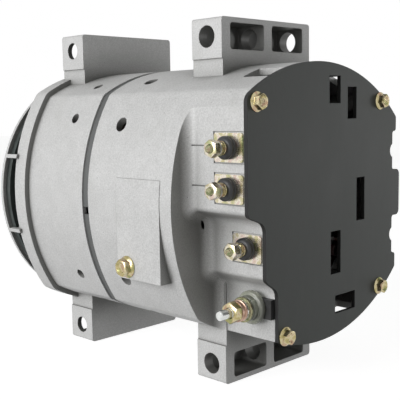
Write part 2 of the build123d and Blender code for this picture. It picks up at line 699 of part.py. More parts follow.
def rear_cover():
    """Flat cover plate with five air slots and four bolt holes."""
    outline = cover_outline()
    for x, z, width, height in cover_slots():
        outline -= Pos(x, z) * Rectangle(width, height)
    for x, z in cover_bolt_places():
        outline -= Pos(x, z) * Circle(M6_SHANK_R + HOLE_CLEARANCE)
    return slab(outline, Y_COVER, Y_RIM)


def flange_bolt(grip):
    """Hex flange bolt along Y: head on the -Y side of the origin, shank towards +Y."""
    head = slab(Circle(M6_FLANGE_R), -M6_FLANGE_H, 0)
    head += slab(RegularPolygon(M6_HEX / 2, 6, major_radius=False), -M6_FLANGE_H - M6_HEX_H, 0)
    return head + slab(Circle(M6_SHANK_R), 0, grip)


def cover_bolts():
    """Four bolts that hold the cover to the rear casting."""
    bolt = flange_bolt(COVER_BOLT_GRIP + COVER_THK)
    return group([Pos(x, Y_COVER, z) * bolt for x, z in cover_bolt_places()])


def earth_bolt():
    """Bolt on the side pad."""
    place = Pos(-BODY_HALF_W - PAD_RISE, Y_EARTH_BOLT, EARTH_BOLT_Z)
    return place * Rot(0, 0, -90) * flange_bolt(EARTH_BOLT_GRIP)


def core_section(inset):
    """Section of the laminations, with slots, bolt holes and a locating notch."""
    outline = body_outline(inset) - Circle(STATOR_BORE_R)
    slot = Pos((STATOR_BORE_R + SLOT_R) / 2 - 1, 0) * Rectangle(SLOT_DEPTH + 2, SLOT_W)
    outline -= [Rot(0, 0, 360 / SLOTS * i) * slot for i in range(SLOTS)]
    outline -= [Pos(x, z) * Circle(THROUGH_BOLT_R + HOLE_CLEARANCE) for x, z in corners(THROUGH_BOLT_XZ)]
    return outline - Pos(-BODY_HALF_W, NOTCH_Z) * Rectangle(2 * (CORE_INSET + NOTCH_DEPTH), NOTCH_W)


def stator_core():
    """Laminated core, with a wider band that shows between the castings."""
    core = slab(core_section(CORE_INSET + THREAD_CLEARANCE), Y_CORE_REAR, Y_CORE_FRONT)
    return core + slab(core_section(CORE_BAND_INSET), Y_REAR_JOINT + TOUCH, Y_FRONT_JOINT - TOUCH)


def stator_windings():
    """Conductors in the slots, joined by a winding head at each end."""
    depth = SLOT_DEPTH - 2 * COIL_SLACK
    bar = Pos(STATOR_BORE_R + COIL_SLACK + depth / 2, 0) * Rectangle(depth, SLOT_W - 2 * COIL_SLACK)
    bars = Sketch() + [Rot(0, 0, 360 / SLOTS * i) * bar for i in range(SLOTS)]
    coil = slab(bars, Y_CORE_REAR - 2 * COIL_SLACK - 1, Y_CORE_FRONT + 2 * COIL_SLACK + 1)
    r_in = STATOR_BORE_R + 2 * COIL_SLACK
    middle = r_in + COIL_HEAD_DEPTH / 2
    head = RectangleRounded(COIL_HEAD_DEPTH, COIL_HEAD_LEN, COIL_HEAD_DEPTH * 0.35)
    for y in (Y_CORE_FRONT + COIL_SLACK + COIL_HEAD_LEN / 2, Y_CORE_REAR - COIL_SLACK - COIL_HEAD_LEN / 2):
        coil += revolve(Pos(middle, y) * head, Axis.Y)
    return coil


def through_bolts():
    """Four long screws that clamp the castings onto the core."""
    y_head = Y_WALL_FRONT - THROUGH_SINK
    y_tip = Y_CORE_REAR - THROUGH_THREAD_LEN
    bolts = []
    for x, z in corners(THROUGH_BOLT_XZ):
        socket = Pos(x, z) * RegularPolygon(THROUGH_BOLT_R * 0.8, 6)
        bolt = rod_y(THROUGH_HEAD_R, x, z, y_head, y_head + THROUGH_HEAD_H)
        bolt += rod_y(THROUGH_BOLT_R, x, z, y_tip, y_head)
        bolts.append(bolt - slab(socket, y_head + THROUGH_HEAD_H / 2, y_head + THROUGH_HEAD_H + 1))
    return group(bolts)


def shaft():
    """Stepped rotor shaft from the slip rings to the pulley thread."""
    y_front_shoulder = Y_FRONT_BEARING - FRONT_BEARING_W
    y_rear_shoulder = Y_REAR_BEARING + REAR_BEARING_W
    shoulder_r = REAR_BEARING_SHAFT_R + 4
    y_thread = PULLEY_SEAT_LEN
    y_end = y_thread + THREAD_LEN
    return turned(
        (0, Y_RINGS_REAR), (RING_SHAFT_R, Y_RINGS_REAR), (RING_SHAFT_R, Y_REAR_BEARING),
        (REAR_BEARING_SHAFT_R, Y_REAR_BEARING), (REAR_BEARING_SHAFT_R, y_rear_shoulder),
        (shoulder_r, y_rear_shoulder), (shoulder_r, Y_ROTOR_REAR), (CORE_SHAFT_R, Y_ROTOR_REAR),
        (CORE_SHAFT_R, y_front_shoulder), (FRONT_BEARING_SHAFT_R, y_front_shoulder),
        (FRONT_BEARING_SHAFT_R, Y_FRONT_BEARING), (FAN_SHAFT_R, Y_FRONT_BEARING), (FAN_SHAFT_R, 0),
        (PULLEY_SEAT_R, 0), (PULLEY_SEAT_R, y_thread), (THREAD_R, y_thread),
        (THREAD_R, y_end - SHAFT_CHAMFER), (THREAD_R - SHAFT_CHAMFER, y_end), (0, y_end))


def rear_claw_pole():
    """Pole half with claws that point towards the drive end."""
    bore = CORE_SHAFT_R + SEAT_CLEARANCE
    y_tip = Y_ROTOR_FRONT - ROTOR_OVERHANG
    y_disc = Y_ROTOR_REAR + POLE_DISC_THK
    pole = ring(POLE_HUB_R, bore, Y_ROTOR_REAR, Y_CORE_MID)
    pole += ring(ROTOR_R - POLE_SHELL - POLE_DISC_STEP, bore, Y_ROTOR_REAR, y_disc)
    rim = ring(ROTOR_R, POLE_HUB_R, Y_ROTOR_REAR, y_disc)
    lobe = block(-POLE_ROOT_W / 2, POLE_ROOT_W / 2, Y_ROTOR_REAR, y_disc, POLE_HUB_R, 2 * ROTOR_R)
    outline = make_face(Polyline(
        (-POLE_ROOT_W / 2, Y_ROTOR_REAR), (POLE_ROOT_W / 2, Y_ROTOR_REAR), (POLE_ROOT_W / 2, y_disc),
        (POLE_TIP_W / 2, y_tip), (-POLE_TIP_W / 2, y_tip), (-POLE_ROOT_W / 2, y_disc), close=True))
    claw = extrude(Plane.XY.offset(COIL_R - 2) * outline, amount=ROTOR_R)
    shell = ring(ROTOR_R, ROTOR_R - POLE_SHELL, Y_ROTOR_REAR, y_tip)
    for piece in around_shaft(claw, POLES_PER_SIDE):
        pole += piece & shell
    for piece in around_shaft(lobe, POLES_PER_SIDE):
        pole += piece & rim
    return pole


def front_claw_pole():
    """The same pole half turned round and set half a pitch on."""
    turned_round = mirror(rear_claw_pole(), Plane.XZ.offset(-Y_CORE_MID))
    return Rot(0, 180 / POLES_PER_SIDE, 0) * turned_round


def field_coil():
    """Field winding on its bobbin, inside the claws."""
    half = (Y_ROTOR_FRONT - Y_ROTOR_REAR) / 2 - POLE_DISC_THK - COIL_CLEARANCE
    return ring(COIL_R, POLE_HUB_R + COIL_CLEARANCE, Y_CORE_MID - half, Y_CORE_MID + half)


def bearing(r_out, r_in, width, ball_r, balls, y_rear):
    """Deep-groove ball bearing: outer ring, inner ring, ball set and cage."""
    pitch = (r_out + r_in) / 2
    middle = y_rear + width / 2
    groove = Pos(pitch, middle) * Circle(ball_r + BALL_CLEARANCE)
    shoulder = ball_r * RACE_SHARE
    outer_face = Pos((r_out + pitch + shoulder) / 2, middle) * Rectangle(r_out - pitch - shoulder, width)
    inner_face = Pos((r_in + pitch - shoulder) / 2, middle) * Rectangle(pitch - shoulder - r_in, width)
    ball_set = [Pos(0, middle, 0) * piece for piece in around_shaft(Pos(pitch, 0, 0) * Sphere(ball_r), balls)]
    half_w = ball_r + CAGE_SIDE
    cage = ring(pitch + CAGE_THK / 2, pitch - CAGE_THK / 2, middle - half_w, middle + half_w)
    pocket = rod_x(ball_r + CAGE_CLEARANCE, middle, 0, pitch - CAGE_THK, pitch + CAGE_THK)
    for piece in around_shaft(pocket, balls):
        cage -= piece
    outer = revolve(outer_face - groove, Axis.Y)
    inner = revolve(inner_face - groove, Axis.Y)
    return outer, inner, group(ball_set), cage


def bearing_retainer():
    """Plate that holds the front bearing in its boss."""
    y_boss = Y_FRONT_BEARING - FRONT_BEARING_W
    plate = ring(FRONT_BEARING_R + BOSS_WALL, FRONT_BEARING_R - 6, y_boss - RETAINER_THK, y_boss)
    for x, z in retainer_screw_places():
        plate -= rod_y(M6_SHANK_R + HOLE_CLEARANCE, x, z, y_boss - RETAINER_THK - 1, y_boss + 1)
    return plate


def retainer_screws():
    """Pan-head screws of the retainer."""
    y_plate = Y_FRONT_BEARING - FRONT_BEARING_W - RETAINER_THK
    screws = []
    for x, z in retainer_screw_places():
        head = rod_y(M6_HEX / 2, x, z, y_plate - 3, y_plate)
        screws.append(head + rod_y(M6_SHANK_R, x, z, y_plate, y_plate + RETAINER_THK + 10))
    return group(screws)


def polar(r, degrees):
    """Point on a circle."""
    return (r * math.cos(math.radians(degrees)), r * math.sin(math.radians(degrees)))


def fan():
    """Radial fan: front disc with a rim towards the drive end, and swept blades behind it."""
    wheel = ring(FAN_R, FAN_HUB_R - FAN_HUB_STEP + SEAT_CLEARANCE, Y_FAN_DISC, Y_FAN_DISC + FAN_DISC_THK)
    wheel += ring(FAN_R, FAN_R - FAN_RIM_THK, Y_FAN_DISC, Y_FAN_DISC + FAN_RIM_LEN)
    tip_r = FAN_R - FAN_BLADE_INSET
    camber = ThreePointArc(polar(FAN_BLADE_IN_R, 0), polar((FAN_BLADE_IN_R + tip_r) / 2, FAN_BLADE_SWEEP / 3),
                           polar(tip_r, FAN_BLADE_SWEEP))
    blade = slab(SlotArc(camber, FAN_BLADE_THK), Y_FAN_REAR, Y_FAN_DISC)
    for piece in around_shaft(blade, FAN_BLADES):
        wheel += piece
    return wheel


def fan_hub():
    """Turned hub with a shoulder that the fan disc seats on."""
    bore = FAN_SHAFT_R + SEAT_CLEARANCE
    neck = FAN_HUB_R - FAN_HUB_STEP
    hub = ring(FAN_HUB_R, bore, Y_FRONT_BEARING, Y_FAN_DISC)
    return hub + ring(neck, bore, Y_FAN_DISC, Y_FAN_NOSE)


def shaft_spacer():
    """Sleeve between the fan hub and the pulley."""
    return ring(SPACER_R, FAN_SHAFT_R + SEAT_CLEARANCE, Y_FAN_NOSE, 0)


def ring_middles():
    """Stations of the two slip rings."""
    return (Y_RINGS_FRONT - RING_W / 2, Y_RINGS_REAR + RING_W / 2)


def slip_ring_hub():
    """Insulating sleeve that carries the slip rings."""
    return ring(RING_HUB_R, RING_SHAFT_R + SEAT_CLEARANCE, Y_RINGS_REAR, Y_REAR_BEARING)


def slip_rings():
    """Two copper rings."""
    return group([ring(RING_R, RING_HUB_R + SEAT_CLEARANCE, y - RING_W / 2, y + RING_W / 2)
                  for y in ring_middles()])


def brush(y):
    """Carbon brush above its slip ring."""
    z_low = RING_R + BRUSH_GAP
    return block(-BRUSH_W / 2, BRUSH_W / 2, y - BRUSH_L / 2, y + BRUSH_L / 2, z_low, z_low + BRUSH_H)


def brush_spring(y):
    """Coil spring behind a brush, as a thin sleeve."""
    z_low = RING_R + BRUSH_GAP + BRUSH_H
    z_high = z_low + BRUSH_TRAVEL + SPRING_SOLID
    return rod_z(SPRING_R, 0, y, z_low, z_high) - rod_z(SPRING_R - SPRING_WIRE, 0, y, z_low, z_high)


def holder_screw_places():
    """Screw places in the ears of the brush holder."""
    x = HOLDER_W / 2 + HOLDER_EAR_W / 2
    return [(x, HOLDER_EAR_Z), (-x, HOLDER_EAR_Z)]


def brush_holder():
    """Moulded holder with a guide channel for each brush."""
    z_low = RING_R + HOLDER_RING_GAP
    z_roof = RING_R + BRUSH_GAP + BRUSH_H + BRUSH_TRAVEL + SPRING_SOLID
    y_rear = Y_RINGS_REAR - 2
    body = block(-HOLDER_W / 2, HOLDER_W / 2, y_rear, Y_RECESS, z_low, z_roof + HOLDER_CAP)
    reach = HOLDER_W / 2 + HOLDER_EAR_W
    body += block(-reach, reach, Y_RECESS - HOLDER_EAR_THK, Y_RECESS, HOLDER_EAR_Z - HOLDER_EAR_H / 2,
                  HOLDER_EAR_Z + HOLDER_EAR_H / 2)
    half_w = BRUSH_W / 2 + BRUSH_SIDE_GAP
    half_l = BRUSH_L / 2 + BRUSH_SIDE_GAP
    for y in ring_middles():
        body -= block(-half_w, half_w, y - half_l, y + half_l, z_low - 1, z_roof)
    for x, z in holder_screw_places():
        body -= rod_y(SMALL_SCREW_R + HOLE_CLEARANCE, x, z, Y_RECESS - HOLDER_EAR_THK - 1, Y_RECESS + 1)
    return body


def small_screws(places, y_seat, grip, depth):
    """Pan-head screws along Y, with the head on the -Y side."""
    screws = []
    for x, z in places:
        head = rod_y(SMALL_HEAD_R, x, z, y_seat - SMALL_HEAD_H, y_seat)
        screws.append(head + rod_y(SMALL_SCREW_R, x, z, y_seat, y_seat + grip + depth))
    return group(screws)


def sink_face():
    """Horseshoe section shared by both heat sinks."""
    face = Circle(SINK_R_OUT) - Circle(SINK_R_IN)
    sweep = [polar(3 * SINK_R_OUT, SINK_START + SINK_SPAN * i / 4) for i in range(5)]
    face &= make_face(Polyline((0, 0), *sweep, close=True))
    face = fillet(face.vertices(), SMALL_HEAD_R)
    for x, z in sink_post_places():
        face -= Pos(x, z) * Circle(SMALL_SCREW_R + HOLE_CLEARANCE)
    return face


def sink_post_places():
    """Places of the screws that carry the rectifier."""
    return [polar(SINK_POST_R, SINK_START + SINK_SPAN * share) for share in SINK_POST_SHARES]


def diode_places(shift):
    """Places of the diodes in one heat sink."""
    return [polar(DIODE_PITCH_R, SINK_START + DIODE_STEP * (i + shift)) for i in range(DIODES)]


def heat_sink(y_front, shift):
    """One heat sink plate, bored for its diodes."""
    face = sink_face()
    for x, z in diode_places(shift):
        face -= Pos(x, z) * Circle(DIODE_R + SEAT_CLEARANCE)
    return slab(face, y_front - SINK_THK, y_front)


def diodes():
    """Press-in diodes of both heat sinks."""
    pieces = []
    for y_front, shift in ((Y_SINK_NEGATIVE, DIODE_SHIFT), (Y_SINK_POSITIVE, 2 * DIODE_SHIFT)):
        for x, z in diode_places(shift):
            body = rod_y(DIODE_R, x, z, y_front - SINK_THK - DIODE_RISE, y_front)
            pieces.append(body + rod_y(DIODE_PIN_R, x, z, y_front - SINK_THK - DIODE_RISE - DIODE_PIN_LEN, y_front))
    return group(pieces)


def rectifier_standoffs():
    """Sleeves between the rear wall and the two heat sinks."""
    pieces = []
    for x, z in sink_post_places():
        for y_rear, y_front in ((Y_SINK_NEGATIVE, Y_RECESS), (Y_SINK_POSITIVE, Y_SINK_NEGATIVE - SINK_THK)):
            sleeve = rod_y(SMALL_HEAD_R, x, z, y_rear, y_front)
            pieces.append(sleeve - rod_y(SMALL_SCREW_R + HOLE_CLEARANCE, x, z, y_rear, y_front))
    return group(pieces)


def regulator_screw_places():
    """Screw places in the ears of the regulator."""
    reach = REGULATOR_H / 2 + REGULATOR_EAR / 2
    return [(REGULATOR_X, REGULATOR_Z + way * reach) for way in (-1, 1)]


def voltage_regulator():
    """Potted regulator box with two screw ears and cooling fins."""
    half_w = REGULATOR_W / 2
    half_h = REGULATOR_H / 2
    y_rear = Y_RECESS - REGULATOR_D
    box = block(REGULATOR_X - half_w, REGULATOR_X + half_w, y_rear, Y_RECESS, REGULATOR_Z - half_h, REGULATOR_Z + half_h)
    box = fillet(box.edges().filter_by(Axis.Y), 2)
    reach = half_h + REGULATOR_EAR
    box += block(REGULATOR_X - REGULATOR_EAR / 2, REGULATOR_X + REGULATOR_EAR / 2, Y_RECESS - REGULATOR_EAR_THK,
                 Y_RECESS, REGULATOR_Z - reach, REGULATOR_Z + reach)
    pitch = REGULATOR_W / (REGULATOR_FINS + 1)
    for i in range(REGULATOR_FINS):
        x = REGULATOR_X - half_w + pitch * (i + 1)
        box -= block(x - pitch / 4, x + pitch / 4, y_rear - 1, y_rear + REGULATOR_D / 4, REGULATOR_Z - reach,
                     REGULATOR_Z + reach)
    for x, z in regulator_screw_places():
        box -= rod_y(SMALL_SCREW_R + HOLE_CLEARANCE, x, z, Y_RECESS - REGULATOR_EAR_THK - 1, Y_RECESS + 1)
    return box


def capacitor():
    """Suppression capacitor standing on the rear wall."""
    can = rod_y(CAPACITOR_R, CAPACITOR_X, CAPACITOR_Z, Y_RECESS - CAPACITOR_LEN, Y_RECESS)
    return fillet(can.edges().group_by(Axis.Y)[0], 2)


def nut(across_flats, x_low, x_high, y, z, bore_r):
    """Hex nut along X with a corner up."""
    face = Rot(0, 0, 30) * RegularPolygon(across_flats / 2, 6, major_radius=False)
    hexagon = extrude(Plane.YZ.offset(x_low) * (Pos(y, z) * face), amount=x_high - x_low)
    return hexagon - rod_x(bore_r, y, z, x_low - 1, x_high + 1)


def washer(r_out, r_in, x_low, x_high, y, z):
    """Washer along X."""
    return rod_x(r_out, y, z, x_low, x_high) - rod_x(r_in, y, z, x_low - 1, x_high + 1)


def terminal_levels(i):
    """X levels of one small terminal, from the pocket floor outwards."""
    levels = [FLAT_X[i] + TAB_POCKET]
    for height in (TAB_THK, INSULATOR_H, TERMINAL_WASHER_H, JAM_NUT_H, TERMINAL_LOCK_H, TERMINAL_NUT_H,
                   TERMINAL_TIP):
        levels.append(levels[-1] - height)
    return levels


def terminal_tabs():
    """Plated square tabs in the pockets of the flats."""
    pieces = []
    for i, z in enumerate(TERMINAL_Z):
        levels = terminal_levels(i)
        face = Pos(Y_TERMINAL, z) * RectangleRounded(TAB_W, TAB_H, TAB_CORNER_R)
        face -= Pos(Y_TERMINAL, z) * Circle(INSULATOR_NECK_R + HOLE_CLEARANCE)
        pieces.append(extrude(Plane.YZ.offset(levels[1]) * face, amount=TAB_THK))
    return group(pieces)


def terminal_insulators():
    """Black collars with a neck through the wall."""
    pieces = []
    for i, z in enumerate(TERMINAL_Z):
        levels = terminal_levels(i)
        collar = rod_x(INSULATOR_R, Y_TERMINAL, z, levels[2], levels[1])
        collar = chamfer(collar.edges().group_by(Axis.X)[0], 1.2)
        collar += rod_x(INSULATOR_NECK_R, Y_TERMINAL, z, levels[1], FLAT_X[i] + COMPARTMENT_WALL)
        pieces.append(collar - rod_x(TERMINAL_STUD_R + THREAD_CLEARANCE, Y_TERMINAL, z, levels[2] - 1,
                                     FLAT_X[i] + COMPARTMENT_WALL + 1))
    return group(pieces)


def terminal_studs():
    """Studs with their heads inside the compartment."""
    pieces = []
    for i, z in enumerate(TERMINAL_Z):
        x_wall = FLAT_X[i] + COMPARTMENT_WALL
        stud = rod_x(TERMINAL_STUD_R, Y_TERMINAL, z, terminal_levels(i)[7], x_wall)
        pieces.append(stud + rod_x(STUD_HEAD_R, Y_TERMINAL, z, x_wall, x_wall + STUD_HEAD_H))
    return group(pieces)


def terminal_washers():
    """Flat washers on the insulators."""
    bore = TERMINAL_STUD_R + THREAD_CLEARANCE
    return group([washer(TERMINAL_WASHER_R, bore, terminal_levels(i)[3], terminal_levels(i)[2], Y_TERMINAL, z)
                  for i, z in enumerate(TERMINAL_Z)])


def terminal_jam_nuts():
    """Thin nuts that clamp the studs."""
    bore = TERMINAL_STUD_R + THREAD_CLEARANCE
    return group([nut(JAM_NUT, terminal_levels(i)[4], terminal_levels(i)[3], Y_TERMINAL, z, bore)
                  for i, z in enumerate(TERMINAL_Z)])


def terminal_lock_washers():
    """Lock washers under the outer nuts."""
    bore = TERMINAL_STUD_R + THREAD_CLEARANCE
    return group([washer(TERMINAL_WASHER_R, bore, terminal_levels(i)[5], terminal_levels(i)[4], Y_TERMINAL, z)
                  for i, z in enumerate(TERMINAL_Z)])


def terminal_nuts():
    """Outer nuts that clamp the leads."""
    bore = TERMINAL_STUD_R + THREAD_CLEARANCE
    return group([nut(TERMINAL_NUT, terminal_levels(i)[6], terminal_levels(i)[5], Y_TERMINAL, z, bore)
                  for i, z in enumerate(TERMINAL_Z)])


def output_levels():
    """X levels of the output terminal, from the flat outwards."""
    levels = [FLAT_LOWER_X]
    for height in (OUTPUT_BLOCK_THK, OUTPUT_INSULATOR_H, OUTPUT_SLEEVE_H, OUTPUT_WASHER_H, OUTPUT_LOCK_H,
                   OUTPUT_COPPER_H, OUTPUT_NUT_H, OUTPUT_TIP):
        levels.append(levels[-1] - height)
    return levels


def output_block():
    """Black insulating block under the output terminal, with a neck through the wall."""
    levels = output_levels()
    x_wall = FLAT_LOWER_X + COMPARTMENT_WALL
    piece = block(levels[1], levels[0], Y_RIM + OUTPUT_BLOCK_RIM_GAP, Y_OUTPUT + OUTPUT_BLOCK_REACH,
                  OUTPUT_Z - OUTPUT_BLOCK_H / 2, OUTPUT_Z + OUTPUT_BLOCK_H / 2)
    piece += rod_x(OUTPUT_NECK_R, Y_OUTPUT, OUTPUT_Z, levels[0], x_wall)
    return piece - rod_x(OUTPUT_STUD_R + THREAD_CLEARANCE, Y_OUTPUT, OUTPUT_Z, levels[1] - 1, x_wall + 1)


def output_insulator():
    """Large clear washer with a raised sleeve."""
    levels = output_levels()
    piece = rod_x(OUTPUT_INSULATOR_R, Y_OUTPUT, OUTPUT_Z, levels[2], levels[1])
    piece = fillet(piece.edges().group_by(Axis.X)[0], 1.5)
    piece += rod_x(OUTPUT_WASHER_R, Y_OUTPUT, OUTPUT_Z, levels[3], levels[2])
    return piece - rod_x(OUTPUT_STUD_R + THREAD_CLEARANCE, Y_OUTPUT, OUTPUT_Z, levels[3] - 1, levels[1] + 1)


def output_stud():
    """Output stud with its head against the strap and a plain pilot at its free end."""
    levels = output_levels()
    x_head = FLAT_LOWER_X + COMPARTMENT_WALL + STRAP_THK
    x_pilot = levels[8] + OUTPUT_PILOT_LEN
    piece = rod_x(OUTPUT_STUD_R, Y_OUTPUT, OUTPUT_Z, x_pilot, x_head)
    piece += rod_x(OUTPUT_PILOT_R, Y_OUTPUT, OUTPUT_Z, levels[8], x_pilot)
    piece += rod_x(STUD_HEAD_R + 1, Y_OUTPUT, OUTPUT_Z, x_head, x_head + STUD_HEAD_H)
    return piece


def output_ring(number, r_out):
    """One washer of the output stack."""
    levels = output_levels()
    bore = OUTPUT_STUD_R + THREAD_CLEARANCE
    return washer(r_out, bore, levels[number], levels[number - 1], Y_OUTPUT, OUTPUT_Z)


def output_nut():
    """Outer nut of the output terminal."""
    levels = output_levels()
    return nut(OUTPUT_NUT, levels[7], levels[6], Y_OUTPUT, OUTPUT_Z, OUTPUT_STUD_R + THREAD_CLEARANCE)


def output_strap():
    """Copper strap from the output stud to the positive heat sink."""
    x_wall = FLAT_LOWER_X + COMPARTMENT_WALL
    y_sink = Y_SINK_POSITIVE - SINK_THK
    half = STRAP_W / 2
    strap = block(x_wall, x_wall + STRAP_THK, Y_OUTPUT - half, y_sink, OUTPUT_Z - half, OUTPUT_Z + half)
    strap += block(x_wall, x_wall + STRAP_LEN, y_sink - STRAP_THK, y_sink, OUTPUT_Z - half, OUTPUT_Z + half)
    return strap - rod_x(OUTPUT_STUD_R + THREAD_CLEARANCE, Y_OUTPUT, OUTPUT_Z, x_wall - 1, x_wall + STRAP_THK + 1)


def build_parts():
    """All sub-parts by name."""
    parts = {
        "drive_end_housing": drive_end_housing(),
        "rear_housing": rear_housing(),
        "rear_cover_plate": rear_cover(),
        "cover_bolts": cover_bolts(),
        "earth_bolt": earth_bolt(),
        "stator_core": stator_core(),
        "stator_windings": stator_windings(),
        "through_bolts": through_bolts(),
        "bearing_retainer": bearing_retainer(),
        "retainer_screws": retainer_screws(),
        "rotor_shaft": shaft(),
        "rear_claw_pole": rear_claw_pole(),
        "front_claw_pole": front_claw_pole(),
        "field_coil": field_coil(),
        "slip_ring_hub": slip_ring_hub(),
        "slip_rings": slip_rings(),
        "fan": fan(),
        "fan_hub": fan_hub(),
        "shaft_spacer": shaft_spacer(),
        "brush_holder": brush_holder(),
        "brush_holder_screws": small_screws(holder_screw_places(), Y_RECESS - HOLDER_EAR_THK, HOLDER_EAR_THK,
                                            REAR_WALL_THK),
        "voltage_regulator": voltage_regulator(),
        "regulator_screws": small_screws(regulator_screw_places(), Y_RECESS - REGULATOR_EAR_THK,
                                         REGULATOR_EAR_THK, REAR_WALL_THK),
        "capacitor": capacitor(),
        "negative_heat_sink": heat_sink(Y_SINK_NEGATIVE, DIODE_SHIFT),
        "positive_heat_sink": heat_sink(Y_SINK_POSITIVE, 2 * DIODE_SHIFT),
        "diodes": diodes(),
        "rectifier_standoffs": rectifier_standoffs(),
        "rectifier_screws": small_screws(sink_post_places(), Y_SINK_POSITIVE - SINK_THK,
                                         Y_RECESS - Y_SINK_POSITIVE + SINK_THK, REAR_WALL_THK),
        "terminal_tabs": terminal_tabs(),
        "terminal_insulators": terminal_insulators(),
        "terminal_studs": terminal_studs(),
        "terminal_washers": terminal_washers(),
        "terminal_jam_nuts": terminal_jam_nuts(),
        "terminal_lock_washers": terminal_lock_washers(),
        "terminal_nuts": terminal_nuts(),
        "output_block": output_block(),
        "output_insulator": output_insulator(),
        "output_stud": output_stud(),
        "output_washer": output_ring(4, OUTPUT_WASHER_R),
        "output_lock_washer": output_ring(5, OUTPUT_LOCK_R),
        "output_copper_ring": output_ring(6, OUTPUT_LOCK_R),
        "output_nut": output_nut(),
        "output_strap": output_strap(),
    }
    for name, y in zip(("front", "rear"), ring_middles()):
        parts[f"{name}_brush"] = brush(y)
        parts[f"{name}_brush_spring"] = brush_spring(y)
    drive_end = bearing(FRONT_BEARING_R, FRONT_BEARING_SHAFT_R, FRONT_BEARING_W, FRONT_BALL_R, FRONT_BALLS,
                        Y_FRONT_BEARING - FRONT_BEARING_W)
    slip_end = bearing(REAR_BEARING_R, REAR_BEARING_SHAFT_R, REAR_BEARING_W, REAR_BALL_R, REAR_BALLS,
                       Y_REAR_BEARING)
    for place, pieces in (("drive_end", drive_end), ("slip_end", slip_end)):
        for name, piece in zip(("outer_ring", "inner_ring", "balls", "cage"), pieces):
            parts[f"{place}_bearing_{name}"] = piece
    return parts


os.makedirs("parts", exist_ok=True)
for part_name, part_shape in build_parts().items():
    export_step(part_shape, f"parts/{part_name}.step")
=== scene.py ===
"""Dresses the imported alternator: finishes for its solids, and the hardware that they leave plain."""
import logging
import math
from dataclasses import dataclass
from enum import Enum
from typing import Any, Iterable, Sequence

import bmesh
import bpy
from mathutils import Euler, Matrix, Vector


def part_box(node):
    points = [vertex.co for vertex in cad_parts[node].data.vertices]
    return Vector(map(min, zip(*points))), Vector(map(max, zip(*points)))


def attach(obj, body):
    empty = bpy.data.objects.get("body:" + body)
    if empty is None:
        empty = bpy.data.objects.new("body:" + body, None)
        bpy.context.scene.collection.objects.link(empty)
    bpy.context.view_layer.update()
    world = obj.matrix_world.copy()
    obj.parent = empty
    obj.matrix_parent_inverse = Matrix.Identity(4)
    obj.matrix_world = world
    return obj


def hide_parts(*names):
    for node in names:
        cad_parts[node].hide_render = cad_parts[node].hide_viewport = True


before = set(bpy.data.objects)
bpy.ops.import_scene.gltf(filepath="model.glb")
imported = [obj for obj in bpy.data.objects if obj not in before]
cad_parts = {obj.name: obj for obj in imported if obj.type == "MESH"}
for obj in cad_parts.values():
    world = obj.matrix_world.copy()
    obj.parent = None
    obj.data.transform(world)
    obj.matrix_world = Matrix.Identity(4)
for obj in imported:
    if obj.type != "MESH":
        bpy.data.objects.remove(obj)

LOG = logging.getLogger("alternator")
MM = 0.001
FULL_TURN = 2 * math.pi
HEX_TURN = math.pi / 3
FRAME_BODY = "stator_frame"
ROTOR_BODY = "rotor"

Colour = tuple[float, float, float, float]
Point = tuple[float, float, float]
Profile = Sequence[tuple[float, float]]
Mesh = bpy.types.Mesh
Material = bpy.types.Material


class Way(Enum):
    """Directions that a fastener can point in, as the turn from +Z."""

    TOWARDS_COVER = (math.pi / 2, 0.0, 0.0)
    TOWARDS_TERMINALS = (0.0, -math.pi / 2, 0.0)
    TOWARDS_DRIVE = (-math.pi / 2, 0.0, 0.0)


def grey(level: float) -> Colour:
    """Opaque neutral colour of one linear level."""
    return (level, level, level, 1.0)


def link(name: str, data: bpy.types.ID) -> bpy.types.Object:
    """Puts data into the scene, unmoved.

    Args:
        name: What the object is called.
        data: The mesh, lamp or camera that it carries.

    Returns:
        The object.
    """
    made = bpy.data.objects.new(name, data)
    bpy.context.scene.collection.objects.link(made)
    return made


# Shader and geometry trees


class Wire:
    """A node's output that takes part in Python expressions."""

    def __init__(self, bench: "Bench", socket: bpy.types.NodeSocket) -> None:
        """Keeps an output socket, and the bench that new nodes are added to."""
        self.bench = bench
        self.socket = socket

    def maths(self, operation: str, *others: "Wire | float", clamp: bool = False) -> "Wire":
        """Result of a Math node on this and other values, held between 0 and 1 where clamp is set."""
        settings = {"operation": operation, "use_clamp": clamp}
        return self.bench.wire("ShaderNodeMath", settings, dict(enumerate((self, *others))))

    def __add__(self, other: "Wire | float") -> "Wire":
        """Sum."""
        return self.maths("ADD", other)

    def __sub__(self, other: "Wire | float") -> "Wire":
        """Difference."""
        return self.maths("SUBTRACT", other)

    def __rsub__(self, other: float) -> "Wire":
        """Difference from a number on the left."""
        return (self * -1.0) + other

    def __mul__(self, other: "Wire | float") -> "Wire":
        """Product."""
        return self.maths("MULTIPLY", other)

    def __abs__(self) -> "Wire":
        """Size without sign."""
        return self.maths("ABSOLUTE")

    def step(self, low: float, high: float) -> "Wire":
        """Smooth step from 0 at low to 1 at high, or the other way round where high is the lower.

        Args:
            low: Value that gives 0.
            high: Value that gives 1.

        Returns:
            The stepped value.
        """
        if low > high:
            return 1.0 - self.step(high, low)
        settings = {"interpolation_type": "SMOOTHSTEP"}
        return self.bench.wire("ShaderNodeMapRange", settings, {0: self, 1: low, 2: high, 3: 0.0, 4: 1.0})


